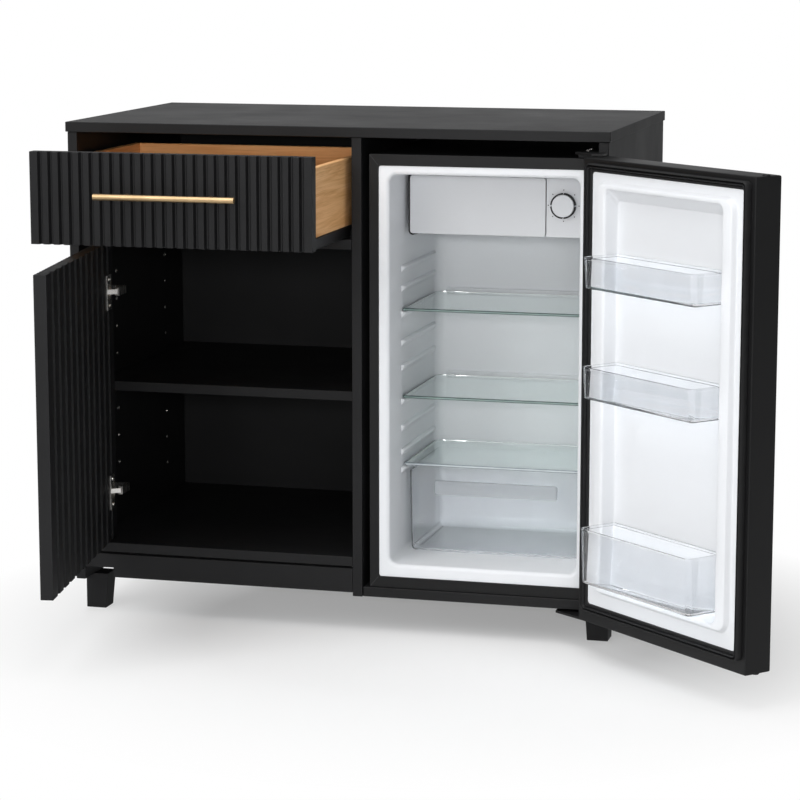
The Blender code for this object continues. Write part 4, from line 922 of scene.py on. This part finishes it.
def crisper(made, frosted):
    """Clear tub with rounded foot, a front that rises to the lid and a frosted grip across it."""
    low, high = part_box("crisper_bin")
    x, y, z = spans(low, high)
    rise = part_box("crisper_lid")[0][2] - LIP_GAP - z[1]
    foot = [(z[0] + CRISPER_FOOT * (1 - math.cos(turn)), CRISPER_FOOT * (1 - math.sin(turn)))
            for turn in quarter(SMALL_STEPS)]
    outside = [(height, CRISPER_DRAFT + step, 0.0) for height, step in foot]
    outside += [(z[1] - LEAST_CORNER, 0.0, 1.0), (z[1], LEAST_CORNER, 1.0)]
    inside = [(z[1], WALL, 1.0), (z[1] - LEAST_CORNER, WALL + LEAST_CORNER, 1.0)]
    inside += [(height + WALL, CRISPER_DRAFT + WALL + step, 0.0) for height, step in reversed(foot)]
    loops = []
    for height, step, share in outside + inside:
        corner = max(CRISPER_CORNER - step, LEAST_CORNER)
        outline = rounded(inset(x, step), inset(y, step), (corner,) * 4)
        run = len(outline) // 4
        start, end = outline[run - 1][0] + LIP_SHOULDER, outline[run][0] - LIP_SHOULDER
        front = y[0] + step
        raised = height + rise * share
        loop = [(px, py, height) for px, py in outline]
        loop[run:run] = [(start, front, height), (start + LIP_SHOULDER, front, raised),
                         (end - LIP_SHOULDER, front, raised), (end, front, height)]
        loops.append(loop)
    stand_for(piece("crisper_tub", *skin(loops), made, "crisper"), "crisper_bin")

    middle = (x[0] + x[1]) / 2
    half = (x[1] - x[0]) * GRIP_SHARE / 2
    top = z[1] - GRIP_DROP
    front = y[0] - TOUCH_GAP
    band = []
    for out, step in ((0.0, 0.0), (GRIP_SHOULDER, LEAST_CORNER), (GRIP_PROUD, WALL)):
        outline = rounded(inset((middle - half, middle + half), step), inset((top - GRIP_HEIGHT, top), step),
                          (GRIP_CORNER,) * 4)
        band.append([(px, front - out, pz) for px, pz in outline])
    piece("crisper_grip", *skin(band), frosted, "crisper")


def flap_gap_shade(made):
    """Dark strip that paints the shade in the gap at the left end and round the lower left corner of the
    freezer flap.
    """
    low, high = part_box("freezer_flap")
    x, y, z = spans(low, high)
    foot = (x[0] + GAP_SHADE_FOOT, z[0])
    bend = (x[0] + GAP_SHADE_CORNER, z[0] + GAP_SHADE_CORNER)
    down = (math.pi, 1.5 * math.pi, CURVE_STEPS)
    inner = [(x[0], z[1])] + arc(bend, GAP_SHADE_CORNER, *down) + [foot]
    outer = [(x[0] - GAP_SHADE_WIDTH, z[1])] + arc(bend, GAP_SHADE_CORNER + GAP_SHADE_WIDTH, *down)
    outer.append((foot[0], foot[1] - TOUCH_GAP))
    outline = outer + list(reversed(inner))
    loops = [[(px, depth, pz) for px, pz in outline] for depth in (y[0] + GAP_SHADE_FRONT, y[1])]
    piece("freezer_flap_gap_shade", *skin(loops), made, "freezer_flap")


def gasket(made):
    """Bellows seal: a loop round the door with two ribs, two grooves and a flat inner lip."""
    low, high = closed_box("fridge_door_gasket", FRIDGE_TURN)
    x, z = (low[0], high[0]), (low[2], high[2])
    seat, lift = low[1], high[1] - low[1]
    loops = []
    for across, up in GASKET_SECTION:
        step = GASKET_WIDTH * across
        corner = GASKET_CORNERS[0] + (GASKET_CORNERS[1] - GASKET_CORNERS[0]) * across
        outline = rounded(inset(x, step), inset(z, step), (corner,) * 4, SMALL_STEPS)
        loops.append([(px, seat + lift * up, pz) for px, pz in outline])
    item = piece("gasket_bellows", *skin(loops, ring=True), made, "fridge_door", FRIDGE_TURN)
    stand_for(item, "fridge_door_gasket")


def frame_mitres(made):
    """Fine raised seams where the four lengths of the fridge frame meet, in a lighter enamel that paints a
    highlight line along them.
    """
    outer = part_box("fridge_front_frame")
    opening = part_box("fridge_liner")
    face = outer[0][1]
    parts = []
    for x, inner_x in zip((outer[0][0], outer[1][0]), (opening[0][0], opening[1][0])):
        for z, inner_z in zip((outer[0][2], outer[1][2]), (opening[0][2], opening[1][2])):
            way = Vector((inner_x - x, 0.0, inner_z - z)).normalized()
            side = Vector((-way.z, 0.0, way.x)) * MITRE_WIDTH / 2
            start = Vector((x, face, z)) + way * MITRE_END
            end = Vector((inner_x, face, inner_z)) - way * MITRE_END
            corners = [start - side, end - side, end + side, start + side]
            parts.append(skin([corners, [corner - Vector((0, MITRE_RISE, 0)) for corner in corners]]))
    piece("fridge_frame_seam_highlights", *merge(parts), made, "cabinet")


def door_plugs(made):
    """Caps in the spare hinge holes at the free end of the fridge door."""
    low, high = closed_box("fridge_door_shell", FRIDGE_TURN)
    pivot = JOINTS["fridge_door_hinge"]["pos_m"]
    x = low[0] + high[0] - pivot[0]
    profile = [(PLUG_RADIUS * out, PLUG_RISE * up) for out, up in PLUG_SECTION]
    ends = ((high[2], (0, 0, 1)), (low[2], (0, 0, -1)))
    parts = [turned(profile, (x, pivot[1], level), axis) for level, axis in ends]
    piece("fridge_door_plugs", *merge(parts), made, "fridge_door", FRIDGE_TURN)


def backdrop_rays(tree):
    """Share of the white backdrop that a ray sees: all by camera and transmission rays, a part by glossy."""
    path = tree.nodes.new("ShaderNodeLightPath")
    mirrored = tree.nodes.new("ShaderNodeMath")
    mirrored.operation = "MULTIPLY"
    mirrored.inputs[1].default_value = BACKDROP_GLOSS
    tree.links.new(path.outputs["Is Glossy Ray"], mirrored.inputs[0])
    shown = mirrored.outputs["Value"]
    for ray in ("Is Camera Ray", "Is Transmission Ray"):
        larger = tree.nodes.new("ShaderNodeMath")
        larger.operation = "MAXIMUM"
        tree.links.new(shown, larger.inputs[0])
        tree.links.new(path.outputs[ray], larger.inputs[1])
        shown = larger.outputs["Value"]
    return shown


def studio():
    """White studio: plain soft world, pale floor and soft lamps."""
    scene = bpy.context.scene
    scene.view_settings.view_transform = "Standard"

    world = bpy.data.worlds.new("studio")
    scene.world = world
    world.use_nodes = True
    nodes, links = world.node_tree.nodes, world.node_tree.links
    sky = nodes["Background"]
    sky.inputs["Color"].default_value = WORLD_COLOUR
    sky.inputs["Strength"].default_value = WORLD_STRENGTH
    white = nodes.new("ShaderNodeBackground")
    white.inputs["Color"].default_value = BACKDROP_COLOUR
    blend = nodes.new("ShaderNodeMixShader")
    links.new(backdrop_rays(world.node_tree), blend.inputs["Fac"])
    links.new(sky.outputs["Background"], blend.inputs[1])
    links.new(white.outputs["Background"], blend.inputs[2])
    links.new(blend.outputs["Shader"], nodes["World Output"].inputs["Surface"])

    floor()
    for name, (place, target, width, height, power) in LAMPS.items():
        lamp(name, place, target, width, height, power)


def floor():
    """White paper floor: it takes the shadows near the object and glows into the backdrop further away."""
    half = FLOOR_SIZE / 2
    mesh = bpy.data.meshes.new("floor")
    corners = [(-half, -half, 0), (half, -half, 0), (half, half, 0), (-half, half, 0)]
    mesh.from_pydata(corners, [], [(0, 1, 2, 3)])
    item = bpy.data.objects.new("floor", mesh)
    bpy.context.scene.collection.objects.link(item)
    dark, mean, light = (even(level) for level in FLOOR_PAPER)
    paper = Look("floor_paper", mean, roughness=0.85, Specular_IOR_Level=0.05)
    fleck = paper.noise(even(3.0), detail=2.0)
    paper.colour(paper.mix(paper.spread(fleck), dark, light))
    reach = paper.node("ShaderNodeVectorMath", operation="LENGTH")
    paper.link(paper.place, reach.inputs[0])
    share = paper.spread(reach.outputs["Value"], low=FLOOR_GLOW, start=FLOOR_NEAR, end=FLOOR_FAR)
    glow = paper.node("ShaderNodeEmission")
    blend = paper.node("ShaderNodeMixShader")
    paper.link(paper.maths("MULTIPLY", share, backdrop_rays(paper.tree)), blend.inputs["Fac"])
    paper.link(paper.shader.outputs["BSDF"], blend.inputs[1])
    paper.link(glow.outputs["Emission"], blend.inputs[2])
    paper.link(blend.outputs["Shader"], paper.tree.nodes["Material Output"].inputs["Surface"])
    mesh.materials.append(paper.made)


def lamp(name, place, target, width, height, power):
    """Soft rectangular lamp that the camera doesn't see."""
    light = bpy.data.lights.new(name, "AREA")
    light.shape = "RECTANGLE"
    light.size = width
    light.size_y = height
    light.energy = power
    made = bpy.data.objects.new(name, light)
    bpy.context.scene.collection.objects.link(made)
    made.location = place
    made.rotation_euler = (Vector(target) - Vector(place)).to_track_quat("-Z", "Y").to_euler()
    made.visible_camera = False


def camera():
    """Camera that stands where the photograph was taken."""
    lens = bpy.data.cameras.new("camera")
    lens.lens = CAMERA_LENS
    lens.sensor_width = SENSOR_WIDTH
    made = bpy.data.objects.new("camera", lens)
    bpy.context.scene.collection.objects.link(made)
    made.location = CAMERA_PLACE
    made.rotation_euler = (math.pi / 2 - CAMERA_PITCH, 0.0, CAMERA_YAW)
    bpy.context.scene.camera = made


def dress_nodes():
    """Material for every CAD node: grain along the boards, and one surface for each of the other slots."""
    board_x = black_board("black_board_x", "X")
    board_z = black_board("black_board_z", "Z")
    oak_x = light_oak("light_oak_x", "X")
    oak_y = light_oak("light_oak_y", "Y")
    upright = ("side_panel_left", "side_panel_right", "divider_panel", "back_panel", "cupboard_door",
               "drawer_front", "foot_front_left", "foot_front_right", "foot_rear_left", "foot_rear_right")
    level = ("worktop", "back_rail_top", "back_rail_bottom", "bottom_panel", "fridge_floor", "drawer_board",
             "plinth_rail", "shelf")
    surfaces = {
        "brass": brushed("brass", *BRASS, roughness=0.36, axis="X"),
        "nickel": brushed("nickel", *NICKEL, roughness=0.24, axis="Z"),
        "black_steel": black_enamel("black_steel", roughness=0.44),
        "insulated_panel": black_enamel("insulated_panel", roughness=0.42),
        "white_plastic": white_plastic(),
        "clear_plastic": clear_plastic(),
        "shelf_glass": shelf_glass(),
        "black_rubber": black_rubber(),
    }
    for node in upright:
        dress(node, board_z)
    for node in level:
        dress(node, board_x)
    for node in ("drawer_back", "drawer_bottom"):
        dress(node, oak_x)
    for node in ("drawer_side_left", "drawer_side_right"):
        dress(node, oak_y)
    for name, item in NODES.items():
        slot = item.data.materials[0].name
        if slot in surfaces:
            dress(name, surfaces[slot])
    # Darker copy of the white sheet for the recessed flap, the thermostat panel and its knob: painted shade,
    # as they sit in the shadow of the fridge's ceiling
    shaded_white_plastic = white_plastic("shaded_white_plastic", SHEET_SHADED)
    for name in ("freezer_flap", "thermostat_panel", "thermostat_knob"):
        dress(name, shaded_white_plastic)
    return surfaces


camera()
studio()
surfaces = dress_nodes()
for node in sorted(NODES):
    soften(node)
pin_sleeves(surfaces["nickel"])
hinge_screws(surfaces["nickel"])
bracket_screws(surfaces["nickel"])
thermostat_marks(print_ink_and_gap_shade())
fridge_liner(surfaces["white_plastic"])
# Edges of the plates painted with the light and dark reflections of glass seen end on
green_edge = painted_glass_edge("green_edge", *GREEN_EDGE_PAINTED)
clear_edge = painted_glass_edge("clear_edge", *CLEAR_EDGE_PAINTED)
for node, edge in zip(PLATES, (green_edge, green_edge, clear_edge)):
    glass_plate(node, surfaces["shelf_glass"], edge)
door_liner(surfaces["white_plastic"])
door_bins(surfaces["clear_plastic"])
crisper(surfaces["clear_plastic"], clear_plastic("frosted_plastic", FROSTED_HAZE))
# A black strip as painted shade in the flap's gap
flap_gap_shade(surfaces["black_rubber"])
gasket(surfaces["black_rubber"])
# The seams' lighter enamel is a painted highlight
frame_mitres(black_enamel("seam_highlight_enamel", roughness=0.44, level=ENAMEL_SEAM_HIGHLIGHT))
door_plugs(surfaces["black_steel"])
